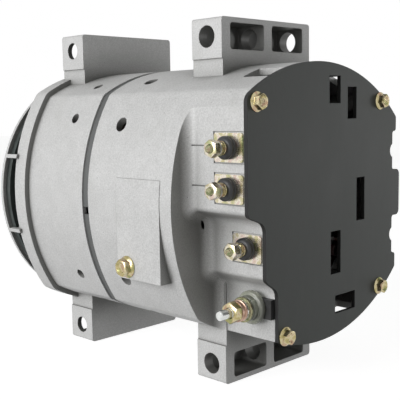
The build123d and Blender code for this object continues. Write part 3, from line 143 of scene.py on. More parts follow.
class Bench:
    """A node tree, and the one method that adds nodes to it."""

    def __init__(self, tree: bpy.types.NodeTree) -> None:
        """Takes a tree and empties it."""
        self.tree = tree
        self.tree.nodes.clear()

    def node(self, kind: str, settings: dict[str, Any] | None = None,
             inputs: dict[int | str, Any] | None = None) -> bpy.types.Node:
        """Adds one node.

        Args:
            kind: Node type's identifier.
            settings: Properties, set before the sockets; "stops" holds a ramp's positions and colours.
            inputs: Values or wires by socket name or number.

        Returns:
            The new node.
        """
        made = self.tree.nodes.new(kind)
        for key, value in (settings or {}).items():
            if key == "stops":
                self._set_stops(made.color_ramp, value)
            else:
                setattr(made, key, value)
        for key, value in (inputs or {}).items():
            if isinstance(value, Wire):
                self.tree.links.new(value.socket, made.inputs[key])
            else:
                made.inputs[key].default_value = value
        return made

    def wire(self, kind: str, settings: dict[str, Any] | None = None,
             inputs: dict[int | str, Any] | None = None, output: int | str = 0) -> Wire:
        """One output of a new node, by its name or number; the rest is as for node."""
        return Wire(self, self.node(kind, settings, inputs).outputs[output])

    @staticmethod
    def _set_stops(ramp: bpy.types.ColorRamp, stops: Sequence[tuple[float, Colour]]) -> None:
        """Sets a ramp's stops.

        Args:
            ramp: Ramp to set.
            stops: Positions and colours, from low to high.
        """
        while len(ramp.elements) < len(stops):
            ramp.elements.new(1.0)
        for element, (place, colour) in zip(ramp.elements, stops):
            element.position = place
            element.color = colour


class Paintbox(Bench):
    """The node tree of one material."""

    MIX_A = 6
    MIX_B = 7
    MIX_RESULT = 2

    def __init__(self, name: str) -> None:
        """Makes an empty material.

        Args:
            name: The material's name.
        """
        self.material = bpy.data.materials.new(name)
        self.material.use_nodes = True
        super().__init__(self.material.node_tree)
        place = self.node("ShaderNodeTexCoord")
        self.place = Wire(self, place.outputs["Object"])

    def axes(self) -> tuple[Wire, Wire, Wire]:
        """The three object coordinates, in metres."""
        split = self.node("ShaderNodeSeparateXYZ", inputs={0: self.place})
        return tuple(Wire(self, split.outputs[i]) for i in range(3))

    def facing(self, axis: int) -> Wire:
        """Share of the surface's direction along one of the object's axes, from -1 to 1."""
        place = self.node("ShaderNodeTexCoord")
        return self.wire("ShaderNodeSeparateXYZ", None, {0: Wire(self, place.outputs["Normal"])}, axis)

    def noise(self, size_mm: float, detail: float = 3.0, roughness: float = 0.5,
              stretch: Point = (1.0, 1.0, 1.0)) -> Wire:
        """Smooth noise, about 0.5.

        Args:
            size_mm: Size of its features.
            detail: Octaves.
            roughness: Weight of the fine octaves.
            stretch: How much longer the features are along each axis.

        Returns:
            The noise's value.
        """
        scale = tuple(1.0 / (size_mm * MM * s) for s in stretch)
        spot = self.wire("ShaderNodeMapping", {"vector_type": "POINT"}, {0: self.place, "Scale": scale})
        return self.wire("ShaderNodeTexNoise", None, {"Vector": spot, "Scale": 1.0, "Detail": detail,
                                                      "Roughness": roughness})

    def cells(self, size_mm: float) -> Wire:
        """Distance to the nearest of points scattered at a spacing, in that spacing."""
        return self.wire("ShaderNodeTexVoronoi", {"feature": "F1"},
                         {"Vector": self.place, "Scale": 1.0 / (size_mm * MM), "Randomness": 1.0})

    def corners(self, reach_mm: float) -> Wire:
        """How enclosed a point is by its own object within a reach: 0 in the open, towards 1 in a corner."""
        return 1.0 - self.wire("ShaderNodeAmbientOcclusion", {"samples": 8, "only_local": True},
                               {"Distance": reach_mm * MM}, "AO")

    def blend(self, low: "Wire | Colour", high: "Wire | Colour", factor: "Wire | float") -> Wire:
        """Mix of two colours, low at factor 0 and high at factor 1."""
        return self.wire("ShaderNodeMix", {"data_type": "RGBA", "clamp_factor": True},
                         {0: factor, self.MIX_A: low, self.MIX_B: high}, self.MIX_RESULT)

    def ramp(self, value: Wire, stops: Sequence[tuple[float, Colour]]) -> Wire:
        """Colour of a value on a ramp with these positions and colours."""
        return self.wire("ShaderNodeValToRGB", {"stops": stops}, {0: value})

    def bump(self, height: Wire, depth_mm: float, strength: float = 1.0, edge_mm: float = 0.0) -> Wire:
        """Bumped normal, with soft edges where a radius is given.

        Args:
            height: Height from 0 to 1.
            depth_mm: Depth of that height.
            strength: Share of it that shows.
            edge_mm: Radius that sharp edges seem to have.

        Returns:
            The normal.
        """
        inputs = {"Height": height, "Distance": depth_mm * MM, "Strength": strength}
        if edge_mm:
            inputs["Normal"] = self.wire("ShaderNodeBevel", {"samples": 4}, {"Radius": edge_mm * MM})
        return self.wire("ShaderNodeBump", None, inputs)

    def finish(self, **sockets: Any) -> Material:
        """Adds the surface shader and the output.

        Args:
            sockets: Values or wires, by the shader's socket names with underscores for spaces.

        Returns:
            The finished material.
        """
        names = {key.replace("_", " "): value for key, value in sockets.items()}
        shader = self.wire("ShaderNodeBsdfPrincipled", None, names)
        self.node("ShaderNodeOutputMaterial", None, {"Surface": shader})
        return self.material


# Finishes


@dataclass(frozen=True)
class CastAluminium:
    """Sand-cast, shot-blasted aluminium: fine grain, rare pits, faint stains, and painted shade in corners
    and hollows.
    """

    name: str = "cast_aluminium"
    bright: Colour = (0.655, 0.655, 0.652, 1.0)
    dull: Colour = (0.455, 0.455, 0.452, 1.0)
    stain: Colour = (0.42, 0.42, 0.40, 1.0)
    # Painted shade: colour, share and reach of the darkening painted into tight corners.
    painted_corner_shade: Colour = (0.10, 0.10, 0.092, 1.0)
    painted_corner_shade_share: float = 0.66
    painted_corner_shade_reach_mm: float = 45.0
    # Painted shade: colour, share and reach of the broad darkening painted into deep hollows.
    painted_hollow_shade: Colour = (0.27, 0.27, 0.262, 1.0)
    painted_hollow_shade_share: float = 0.75
    painted_hollow_shade_reach_mm: float = 130.0
    pit: Colour = grey(0.12)
    pit_share: float = 0.75
    pit_mm: float = 9.0
    pit_size: float = 0.055
    rub: Colour = grey(0.72)
    rub_share: float = 0.30
    rub_mm: float = 0.7
    rub_length: float = 26.0
    metallic: float = 0.10
    grain_mm: float = 1.15
    grain_share: float = 0.82
    mottle_mm: float = 14.0
    mottle_share: float = 0.18
    stain_share: float = 0.22
    pad_x_mm: tuple[float, float] = (52.6, 53.5)
    pad_z_mm: float = 110.0
    pad_edge_mm: float = 0.1
    pad_lift: float = 0.15

    def pads(self, box: Paintbox) -> Wire:
        """1 on the machined outer faces of the feet, 0 elsewhere.

        Args:
            box: Tree to add the nodes to.

        Returns:
            That mask.
        """
        x, _, z = box.axes()
        edge = self.pad_edge_mm
        inner, outer = self.pad_x_mm
        across = abs(x).step((inner - edge) * MM, inner * MM)
        up = abs(z).step((self.pad_z_mm - edge) * MM, self.pad_z_mm * MM)
        return across * up * (1.0 - abs(x).step(outer * MM, (outer + edge) * MM))

    def make(self) -> Material:
        """Builds the finish from its fields.

        Returns:
            The material.
        """
        box = Paintbox(self.name)
        grain = box.noise(self.grain_mm, 4.0, 0.6)
        mottle = box.noise(self.mottle_mm, 4.0, 0.55)
        stain = box.noise(3 * self.mottle_mm, 3.0, 0.5).step(0.56, 0.74)
        pits = box.cells(self.pit_mm).step(self.pit_size, self.pit_size * 0.4)
        pad = self.pads(box)
        tone = mottle.step(0.3, 0.7) * self.mottle_share + grain.step(0.25, 0.75) * self.grain_share
        colour = box.blend(self.dull, self.bright, tone.maths("ADD", pad * self.pad_lift, clamp=True))
        colour = box.blend(colour, self.stain, stain * self.stain_share)
        rub = box.noise(self.rub_mm, 3.0, 0.6, (1.0, 1.0, self.rub_length)).step(0.66, 0.78)
        colour = box.blend(colour, self.rub, rub * mottle.step(0.45, 0.6) * self.rub_share)
        # Painted shade: hollows enclosed by the casting within 130 mm are darkened in the colour.
        hollow = box.corners(self.painted_hollow_shade_reach_mm).step(0.08, 0.50)
        colour = box.blend(colour, self.painted_hollow_shade, hollow * self.painted_hollow_shade_share)
        # Painted shade: corners enclosed by the casting within 45 mm are darkened in the colour.
        corner = box.corners(self.painted_corner_shade_reach_mm).step(0.05, 0.60)
        colour = box.blend(colour, self.painted_corner_shade, corner * self.painted_corner_shade_share)
        colour = box.blend(colour, self.pit, pits * self.pit_share)
        rough = grain * 0.16 + mottle * 0.08 + 0.40 - pad * 0.08
        height = grain * (1.0 - pad * 0.75) + mottle * 0.3 - pits * 2.5
        normal = box.bump(height, 0.12, 0.6, 0.9)
        return box.finish(Base_Color=colour, Metallic=self.metallic, Roughness=rough, Normal=normal)


@dataclass(frozen=True)
class CoverPaint:
    """Matt dark grey paint on sheet steel, with a slight orange peel."""

    name: str = "cover_paint"
    colour: Colour = (0.066, 0.072, 0.068, 1.0)
    rubbed: Colour = (0.088, 0.095, 0.090, 1.0)
    dark_edge_faces: Colour = (0.014, 0.014, 0.014, 1.0)
    peel_mm: float = 0.8
    cloud_mm: float = 24.0
    fleck_mm: float = 3.1

    def make(self) -> Material:
        """Builds the finish from its fields.

        Returns:
            The material.
        """
        box = Paintbox(self.name)
        peel = box.noise(self.peel_mm, 2.0, 0.5)
        cloud = box.noise(self.cloud_mm, 4.0, 0.6, (1.0, 1.0, 2.4))
        fleck = box.cells(self.fleck_mm).step(0.10, 0.04)
        colour = box.blend(self.colour, self.rubbed, cloud.step(0.35, 0.75) * 0.7 + peel * 0.3)
        colour = box.blend(colour, grey(0.15), fleck * 0.30)
        # Faces that do not point along Y, the plate's thin edges, are darkened towards near black.
        colour = box.blend(self.dark_edge_faces, colour, abs(box.facing(1)).step(0.25, 0.85))
        normal = box.bump(peel, 0.05, 0.5, 0.35)
        return box.finish(Base_Color=colour, Roughness=cloud * 0.12 + 0.50, Metallic=0.0, Normal=normal,
                          Specular_IOR_Level=0.28)


@dataclass(frozen=True)
class YellowZinc:
    """Yellow passivated zinc on steel: gold with green and pink bands."""

    name: str = "yellow_zinc"
    gold: Colour = (0.41, 0.34, 0.16, 1.0)
    pale: Colour = (0.54, 0.48, 0.30, 1.0)
    green: Colour = (0.24, 0.27, 0.115, 1.0)
    pink: Colour = (0.41, 0.27, 0.18, 1.0)
    band_mm: float = 6.0
    scratch_mm: float = 1.1
    roughness: float = 0.22

    def make(self) -> Material:
        """Builds the finish from its fields.

        Returns:
            The material.
        """
        box = Paintbox(self.name)
        drift = box.noise(self.band_mm, 2.0, 0.45)
        scratch = box.noise(self.scratch_mm, 5.0, 0.7, (1.0, 3.5, 1.0))
        colour = box.ramp(drift, ((0.28, self.green), (0.43, self.gold), (0.53, self.pale), (0.66, self.pink),
                                  (0.80, self.gold)))
        colour = box.blend(colour, grey(0.32), scratch.step(0.62, 0.85) * 0.35)
        rough = scratch * 0.18 + (self.roughness - 0.05)
        normal = box.bump(scratch, 0.02, 0.35, 0.15)
        return box.finish(Base_Color=colour, Metallic=1.0, Roughness=rough, Normal=normal)


@dataclass(frozen=True)
class TurnedSteel:
    """Machined steel, with fine marks across one axis."""

    name: str
    colour: Colour = (0.58, 0.58, 0.57, 1.0)
    dull: Colour = (0.42, 0.42, 0.41, 1.0)
    roughness: float = 0.30
    mark_mm: float = 0.22
    mark_ratio: float = 14.0
    film_mm: float = 6.0
    axis: int = 1
    edge_mm: float = 0.2
    thread_span_mm: tuple[float, float] | None = None
    thread_pitch_mm: float = 1.5
    thread_fade_mm: float = 0.6

    def thread(self, box: Paintbox) -> Wire:
        """Depth of a screw thread round the object's Y axis, 0 outside its span.

        Args:
            box: Tree to add the nodes to.

        Returns:
            That depth, from 0 to 1.
        """
        x, y, z = box.axes()
        low, high = (v * MM for v in self.thread_span_mm)
        turns = y * (1.0 / (self.thread_pitch_mm * MM)) - x.maths("ARCTAN2", z) * (1.0 / FULL_TURN)
        groove = abs(turns.maths("FRACT") * 2.0 - 1.0)
        fade = self.thread_fade_mm * MM
        return groove * y.step(low, low + fade) * y.step(high, high - fade)

    def make(self) -> Material:
        """Builds the finish from its fields.

        Returns:
            The material.
        """
        box = Paintbox(self.name)
        stretch = tuple(1.0 if i == self.axis else self.mark_ratio for i in range(3))
        marks = box.noise(self.mark_mm, 3.0, 0.6, stretch)
        film = box.noise(self.film_mm, 4.0, 0.55)
        colour = box.blend(self.dull, self.colour, marks * 0.5 + film.step(0.3, 0.6) * 0.5)
        rough = marks * 0.14 + film * 0.10 + (self.roughness - 0.10)
        if self.thread_span_mm:
            thread = self.thread(box)
            # Painted shade: the thread's grooves are darkened in the colour by their depth.
            colour = box.blend(colour, grey(0.16), thread * 0.7)
            normal = box.bump(1.0 - thread, 0.9, 1.0, self.edge_mm)
        else:
            normal = box.bump(marks, 0.012, 0.5, self.edge_mm)
        return box.finish(Base_Color=colour, Metallic=1.0, Roughness=rough, Normal=normal)


@dataclass(frozen=True)
class CoreSteel:
    """Edges of stacked laminations, dull with a thin film of varnish."""

    name: str = "core_steel"
    colour: Colour = (0.080, 0.084, 0.082, 1.0)
    edge: Colour = (0.135, 0.138, 0.138, 1.0)
    sheet_mm: float = 0.8
    film_mm: float = 5.0

    def make(self) -> Material:
        """Builds the finish from its fields.

        Returns:
            The material.
        """
        box = Paintbox(self.name)
        _, y, _ = box.axes()
        sheet = (y * (FULL_TURN / (self.sheet_mm * MM))).maths("SINE") * 0.5 + 0.5
        film = box.noise(self.film_mm, 4.0, 0.6)
        colour = box.blend(self.colour, self.edge, sheet * 0.5 + film * 0.5)
        normal = box.bump(sheet, 0.05, 0.6, 0.3)
        return box.finish(Base_Color=colour, Metallic=0.55, Roughness=film * 0.2 + 0.38, Normal=normal)


@dataclass(frozen=True)
class VarnishedWire:
    """Winding wire under varnish, with strands along the head."""

    name: str = "enamelled_copper"
    colour: Colour = (0.42, 0.14, 0.045, 1.0)
    dark: Colour = (0.16, 0.05, 0.02, 1.0)
    strand_mm: float = 1.3
    pool_mm: float = 9.0

    def make(self) -> Material:
        """Builds the finish from its fields.

        Returns:
            The material.
        """
        box = Paintbox(self.name)
        strand = box.noise(self.strand_mm, 3.0, 0.6)
        pool = box.noise(self.pool_mm, 3.0, 0.5)
        colour = box.blend(self.dark, self.colour, strand.step(0.35, 0.6) * 0.7 + pool * 0.3)
        normal = box.bump(strand, 0.35, 0.8, 0.3)
        return box.finish(Base_Color=colour, Metallic=0.35, Roughness=0.32, Normal=normal, Coat_Weight=0.5,
                          Coat_Roughness=0.2)


@dataclass(frozen=True)
class MouldedPlastic:
    """Moulded plastic with a faint texture."""

    name: str
    colour: Colour = (0.018, 0.018, 0.019, 1.0)
    roughness: float = 0.42
    texture_mm: float = 0.4
    cloud_mm: float = 4.0
    transmission: float = 0.0

    def make(self) -> Material:
        """Builds the finish from its fields.

        Returns:
            The material.
        """
        box = Paintbox(self.name)
        texture = box.noise(self.texture_mm, 2.0, 0.5)
        cloud = box.noise(self.cloud_mm, 3.0, 0.5)
        worn = tuple(min(1.0, c * 1.7 + 0.01) for c in self.colour[:3]) + (1.0,)
        colour = box.blend(self.colour, worn, cloud.step(0.45, 0.8) * 0.6)
        normal = box.bump(texture, 0.02, 0.5, 0.25)
        return box.finish(Base_Color=colour, Roughness=cloud * 0.12 + (self.roughness - 0.06), Normal=normal,
                          Transmission_Weight=self.transmission, IOR=1.5)


@dataclass(frozen=True)
class BareCopper:
    """Bright copper with a light tarnish."""

    name: str
    colour: Colour = (0.52, 0.36, 0.28, 1.0)
    tarnish: Colour = (0.24, 0.14, 0.12, 1.0)
    film_mm: float = 3.0
    mark_mm: float = 0.25

    def make(self) -> Material:
        """Builds the finish from its fields.

        Returns:
            The material.
        """
        box = Paintbox(self.name)
        film = box.noise(self.film_mm, 4.0, 0.6)
        marks = box.noise(self.mark_mm, 2.0, 0.5, (1.0, 6.0, 6.0))
        colour = box.blend(self.colour, self.tarnish, film.step(0.45, 0.75) * 0.6)
        normal = box.bump(marks, 0.012, 0.5, 0.2)
        return box.finish(Base_Color=colour, Metallic=1.0, Roughness=film * 0.2 + 0.2, Normal=normal)


@dataclass(frozen=True)
class FanPaint:
    """Dark primer on pressed steel."""

    name: str = "fan_paint"
    colour: Colour = (0.038, 0.048, 0.045, 1.0)
    dusty: Colour = (0.075, 0.088, 0.083, 1.0)
    dust_mm: float = 11.0
    grain_mm: float = 0.7

    def make(self) -> Material:
        """Builds the finish from its fields.

        Returns:
            The material.
        """
        box = Paintbox(self.name)
        dust = box.noise(self.dust_mm, 5.0, 0.6)
        grain = box.noise(self.grain_mm, 2.0, 0.5)
        colour = box.blend(self.colour, self.dusty, dust.step(0.35, 0.75) * 0.8 + grain * 0.2)
        normal = box.bump(grain, 0.03, 0.5, 0.5)
        return box.finish(Base_Color=colour, Metallic=0.1, Roughness=dust * 0.2 + 0.4, Normal=normal)


class Finishes:
    """Every finish of the object, made once."""

    def __init__(self) -> None:
        """Makes the materials."""
        self.cast = CastAluminium().make()
        self.cover = CoverPaint().make()
        self.zinc = YellowZinc().make()
        self.pale_zinc = YellowZinc("pale_zinc", gold=(0.52, 0.46, 0.30, 1.0), pale=(0.66, 0.62, 0.52, 1.0),
                                    green=(0.36, 0.40, 0.20, 1.0), pink=(0.58, 0.45, 0.40, 1.0)).make()
        self.olive_zinc = YellowZinc("olive_zinc", gold=(0.21, 0.21, 0.11, 1.0), pale=(0.32, 0.32, 0.20, 1.0),
                                     green=(0.15, 0.18, 0.09, 1.0), pink=(0.28, 0.22, 0.14, 1.0),
                                     band_mm=3.0).make()
        self.steel = TurnedSteel("bright_steel").make()
        self.stud = TurnedSteel("stud_steel", colour=(0.72, 0.73, 0.72, 1.0), dull=(0.55, 0.56, 0.54, 1.0),
                                roughness=0.22, axis=0).make()
        self.dark = TurnedSteel("dark_steel", colour=(0.10, 0.10, 0.105, 1.0), dull=(0.05, 0.05, 0.055, 1.0),
                                roughness=0.42).make()
        self.shaft = TurnedSteel("shaft_steel", thread_span_mm=(34.0, 54.8)).make()
        self.red = TurnedSteel("heat_sink_red", colour=(0.085, 0.016, 0.015, 1.0),
                               dull=(0.04, 0.010, 0.010, 1.0), roughness=0.5).make()
        self.core = CoreSteel().make()
        self.wire = VarnishedWire().make()
        self.black = MouldedPlastic("black_plastic").make()
        self.clear = MouldedPlastic("clear_plastic", colour=(0.60, 0.62, 0.52, 1.0), roughness=0.24,
                                    transmission=0.62).make()
        self.carbon = MouldedPlastic("carbon", colour=(0.03, 0.03, 0.032, 1.0), roughness=0.55).make()
        self.copper = BareCopper("copper").make()
        self.brass = BareCopper("brass", colour=(0.72, 0.56, 0.26, 1.0),
                                tarnish=(0.45, 0.33, 0.14, 1.0)).make()
        self.fan = FanPaint().make()


# Mesh making


class MeshShop:
    """Makes closed meshes of turned, hexagonal and threaded forms, in millimetres along +Z."""

    FLAT_STEPS = 6
    THREAD_SEGMENTS = 28
    THREAD_ROWS = 6
    LOCK_STEPS = 44
    LOCK_SLIT_DEG = 9.0
    LOCK_LIFT = 0.25
    BORE_CHAMFER = 0.35
    FACE_SHARE = 0.94
    CHAMFER_DEG = 30
    DISH_SHARES = (0.80, 0.55)
    THREAD_DEPTH = 0.58
    THREAD_CHAMFER = 1.2
    FLANK_SLOPE = 1.25
    CREST_SHARE = 0.12

    @staticmethod
    def ring(radii: Iterable[float], turns: Iterable[float], heights: Iterable[float]) -> list[Point]:
        """Points at these radii, angles and heights."""
        return [(r * math.cos(t), r * math.sin(t), z) for r, t, z in zip(radii, turns, heights)]

    @classmethod
    def level(cls, radius: float, z: float, segments: int) -> list[Point]:
        """One flat round ring."""
        turns = [FULL_TURN * i / segments for i in range(segments)]
        return cls.ring([radius] * segments, turns, [z] * segments)

    @staticmethod
    def solid(name: str, rings: Sequence[Sequence[Point]], closed: bool = False) -> Mesh:
        """Skins rings of equal length.

        Args:
            name: Name of the mesh.
            rings: Rings of points; each row is joined to the next.
            closed: Whether the last row joins the first; otherwise both ends are capped.

        Returns:
            The mesh, in metres.
        """
        shape = bmesh.new()
        rows = [[shape.verts.new(Vector(p) * MM) for p in row] for row in rings]
        pairs = list(zip(rows, rows[1:]))
        if closed:
            pairs.append((rows[-1], rows[0]))
        for low, high in pairs:
            for i in range(len(low)):
                j = (i + 1) % len(low)
                shape.faces.new((low[i], low[j], high[j], high[i]))
        if not closed:
            shape.faces.new(list(reversed(rows[0])))
            shape.faces.new(rows[-1])
        bmesh.ops.recalc_face_normals(shape, faces=shape.faces)
        mesh = bpy.data.meshes.new(name)
        shape.to_mesh(mesh)
        shape.free()
        return mesh

    @classmethod
    def turned(cls, name: str, profile: Profile, segments: int = 40, bored: bool = False) -> Mesh:
        """Turned form.

        Args:
            name: Name of the mesh.
            profile: Radius and height pairs; a bored form's profile is a closed loop.
            segments: Faces round it.
            bored: Whether the profile closes on itself round a bore.

        Returns:
            The mesh.
        """
        return cls.solid(name, [cls.level(r, z, segments) for r, z in profile], bored)

    @classmethod
    def hexagon(cls, name: str, flats: float, height: float, bore: float = 0.0, dish: float = 0.0) -> Mesh:
        """Hexagonal head or nut with chamfered corners.

        Args:
            name: Name of the mesh.
            flats: Distance across the flats.
            height: Height of the hexagon.
            bore: Bore radius of a nut, which is chamfered at both ends, or 0 for a head.
            dish: Depth of the hollow in a head's top.

        Returns:
            The mesh.
        """
        count = 6 * cls.FLAT_STEPS
        turns = [FULL_TURN * i / count for i in range(count)]
        inner = flats / 2
        reach = [inner / math.cos((t + HEX_TURN / 2) % HEX_TURN - HEX_TURN / 2) for t in turns]
        face = inner * cls.FACE_SHARE
        drop = [(r - face) * math.tan(math.radians(cls.CHAMFER_DEG)) for r in reach]
        top = [cls.ring(reach, turns, [height - d for d in drop]), cls.level(face, height, count)]
        if bore:
            low = [cls.level(face, 0.0, count), cls.ring(reach, turns, drop)]
            lip = bore + cls.BORE_CHAMFER
            hole = ((lip, height), (bore, height - cls.BORE_CHAMFER), (bore, cls.BORE_CHAMFER), (lip, 0.0))
            return cls.solid(name, low + top + [cls.level(r, z, count) for r, z in hole], True)
        levels = zip(cls.DISH_SHARES, (height, height - dish))
        hollow = [cls.level(face * share, z, count) for share, z in levels]
        return cls.solid(name, [cls.ring(reach, turns, [0.0] * count)] + top + hollow)

    @classmethod
    def thread(cls, name: str, radius: float, pitch: float, length: float, plain: Profile) -> Mesh:
        """Threaded rod with a chamfered end, on a plain foot.

        Args:
            name: Name of the mesh.
            radius: Outer radius of the thread.
            pitch: Rise of one turn.
            length: Length of the thread.
            plain: Radius and height pairs below the thread.

        Returns:
            The mesh.
        """
        shares = [i / cls.THREAD_SEGMENTS for i in range(cls.THREAD_SEGMENTS)]
        turns = [FULL_TURN * share for share in shares]
        rings = [cls.level(r, z, cls.THREAD_SEGMENTS) for r, z in plain]
        count = max(2, round(length / pitch * cls.THREAD_ROWS))
        depth = pitch * cls.THREAD_DEPTH
        chamfer = pitch * cls.THREAD_CHAMFER
        for k in range(count + 1):
            z = length * k / count
            waves = [1.0 - abs(2.0 * ((z / pitch - share) % 1.0) - 1.0) for share in shares]
            grooves = [min(1.0, max(0.0, cls.FLANK_SLOPE * wave - cls.CREST_SHARE)) for wave in waves]
            end = radius - depth + (length - z) * depth / chamfer
            rings.append(cls.ring([min(radius - depth * g, end) for g in grooves], turns, [z] * len(turns)))
        return cls.solid(name, rings)

    @classmethod
    def split_ring(cls, name: str, outer: float, inner: float, height: float) -> Mesh:
        """Spring lock washer: a flat coil with a slit.

        Args:
            name: Name of the mesh.
            outer: Outer radius.
            inner: Inner radius.
            height: Room that it takes.

        Returns:
            The mesh.
        """
        start = math.radians(cls.LOCK_SLIT_DEG / 2)
        thick = height - cls.LOCK_LIFT
        rings = []
        for k in range(cls.LOCK_STEPS + 1):
            turn = start + (FULL_TURN - 2 * start) * k / cls.LOCK_STEPS
            z = cls.LOCK_LIFT * k / cls.LOCK_STEPS
            rings.append(cls.ring((inner, outer, outer, inner), [turn] * 4, (z, z, z + thick, z + thick)))
        return cls.solid(name, rings)

    @staticmethod
    def joined(name: str, meshes: Iterable[tuple[Mesh, Matrix]]) -> Mesh:
        """Copies of meshes, placed and put together.

        Args:
            name: Name of the new mesh.
            meshes: Meshes with their places, in metres.

        Returns:
            The joined mesh.
        """
        shape = bmesh.new()
        for mesh, place in meshes:
            moved = mesh.copy()
            moved.transform(place)
            shape.from_mesh(moved)
            bpy.data.meshes.remove(moved)
        result = bpy.data.meshes.new(name)
        shape.to_mesh(result)
        shape.free()
        return result


class Scatter(Bench):
    """Geometry tree that sets a copy of one fastener on each point, each with its own seeded turn."""

    SOCKETS = (("Geometry", "NodeSocketGeometry"), ("Fastener", "NodeSocketObject"),
               ("Tilt", "NodeSocketRotation"), ("Spin", "NodeSocketFloat"), ("Seed", "NodeSocketInt"),
               ("Finish", "NodeSocketMaterial"))

    def __init__(self, name: str) -> None:
        """Builds the tree.

        Args:
            name: The tree's name.
        """
        tree = bpy.data.node_groups.new(name, "GeometryNodeTree")
        super().__init__(tree)
        for title, kind in self.SOCKETS:
            tree.interface.new_socket(title, in_out="INPUT", socket_type=kind)
        tree.interface.new_socket("Geometry", in_out="OUTPUT", socket_type="NodeSocketGeometry")
        given = self.node("NodeGroupInput")
        take = {title: Wire(self, given.outputs[title]) for title, _ in self.SOCKETS}
        model = self.wire("GeometryNodeObjectInfo", {"transform_space": "ORIGINAL"},
                          {"Object": take["Fastener"]}, "Geometry")
        placed = self.wire("GeometryNodeInstanceOnPoints", None,
                           {"Points": take["Geometry"], "Instance": model, "Rotation": take["Tilt"]})
        spin = self.wire("FunctionNodeRandomValue", {"data_type": "FLOAT"},
                         {2: 0.0, 3: take["Spin"], "Seed": take["Seed"]}, 1)
        turn = self.wire("ShaderNodeCombineXYZ", None, {2: spin})
        spun = self.wire("GeometryNodeRotateInstances", None, {"Instances": placed, "Rotation": turn})
        solid = self.wire("GeometryNodeRealizeInstances", None, {"Geometry": spun})
        dressed = self.wire("GeometryNodeSetMaterial", None, {"Geometry": solid, "Material": take["Finish"]})
        self.node("NodeGroupOutput", None, {"Geometry": dressed})

    def mesh(self, name: str, model: Mesh, places: Sequence[Point], way: Way, spin: float, seed: int,
             finish: Material) -> Mesh:
        """Runs the tree.

        Args:
            name: Name of the new mesh.
            model: One fastener, along +Z from its seat.
            places: Seats of the copies, in millimetres.
            way: Direction that the heads point in.
            spin: Largest random turn, in radians.
            seed: Seed of those turns.
            finish: Material of the copies.

        Returns:
            One plain mesh of all copies.
        """
        points = bpy.data.meshes.new(name + "_points")
        points.from_pydata([Vector(p) * MM for p in places], [], [])
        carrier = link(name + "_carrier", points)
        template = link(name + "_template", model)
        modifier = carrier.modifiers.new("copies", "NODES")
        modifier.node_group = self.tree
        values = {"Fastener": template, "Tilt": Euler(way.value), "Spin": spin, "Seed": seed,
                  "Finish": finish}
        for item in self.tree.interface.items_tree:
            if item.in_out == "INPUT" and item.name in values:
                modifier[item.identifier] = values[item.name]
        bpy.context.view_layer.update()
        view = bpy.context.evaluated_depsgraph_get()
        result = bpy.data.meshes.new_from_object(carrier.evaluated_get(view))
        result.name = name
        carrier.modifiers.remove(modifier)
        for item in (carrier, template):
            bpy.data.objects.remove(item)
        return result


# Sub-assemblies


@dataclass
class Assembly:
    """A group of pieces, with the finishes and the copying tree that all groups share."""

    SMOOTH_ANGLE = math.radians(32)

    finishes: Finishes
    scatter: Scatter
    seed: int = 0

    def add(self, name: str, model: Mesh, places: Sequence[Point], finish: Material, slot: str,
            replaces: Sequence[str] = (), spin: float = 0.0, way: Way = Way.TOWARDS_TERMINALS,
            body: str = FRAME_BODY) -> None:
        """Sets one model on each place, all as one piece that rides on a body.

        Args:
            name: Name of the piece.
            model: One copy, along +Z from its seat.
            places: Seats of the copies, in millimetres.
            finish: Its finish.
            slot: A material slot's name; not used.
            replaces: Solids that it stands for.
            spin: Largest random turn, in radians.
            way: Direction that the copies point in.
            body: Body that it rides on.
        """
        mesh = self.scatter.mesh(name, model, places, way, spin, self.seed, finish)
        mesh.materials.clear()
        mesh.materials.append(finish)
        made = link(name, mesh)
        mesh.set_sharp_from_angle(angle=self.SMOOTH_ANGLE)
        for polygon in mesh.polygons:
            polygon.use_smooth = True
        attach(made, body)
        if replaces:
            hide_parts(*replaces)
        LOG.info("%s: %d faces on %s", name, len(mesh.polygons), body)

    @staticmethod
    def dress(material: Material, *nodes: str) -> None:
        """Gives solids of the frame a finish.

        Args:
            material: The finish.
            nodes: Names of the solids' nodes.
        """
        for node in nodes:
            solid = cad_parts[node]
            for slot in solid.material_slots:
                slot.material = material
            if not solid.material_slots:
                solid.data.materials.append(material)


@dataclass
class Castings(Assembly):
    """The two cast housings, the core between them and what they hold out of sight."""

    def build(self) -> None:
        """Gives the fixed solids their finishes."""
        own = self.finishes
        self.dress(own.cast, "drive_end_housing", "rear_housing")
        self.dress(own.steel, "capacitor", "negative_heat_sink")
        self.dress(own.red, "positive_heat_sink")
        self.dress(own.core, "stator_core")
        self.dress(own.wire, "stator_windings")
        self.dress(own.dark, "through_bolts", "retainer_screws")
        self.dress(own.steel, "bearing_retainer", "brush_holder_screws", "regulator_screws", "diodes",
                   "rectifier_screws", "front_brush_spring", "rear_brush_spring",
                   "drive_end_bearing_outer_ring", "slip_end_bearing_outer_ring")
        self.dress(own.black, "brush_holder", "voltage_regulator", "rectifier_standoffs")
        self.dress(own.carbon, "front_brush", "rear_brush")
        self.dress(own.copper, "output_strap")


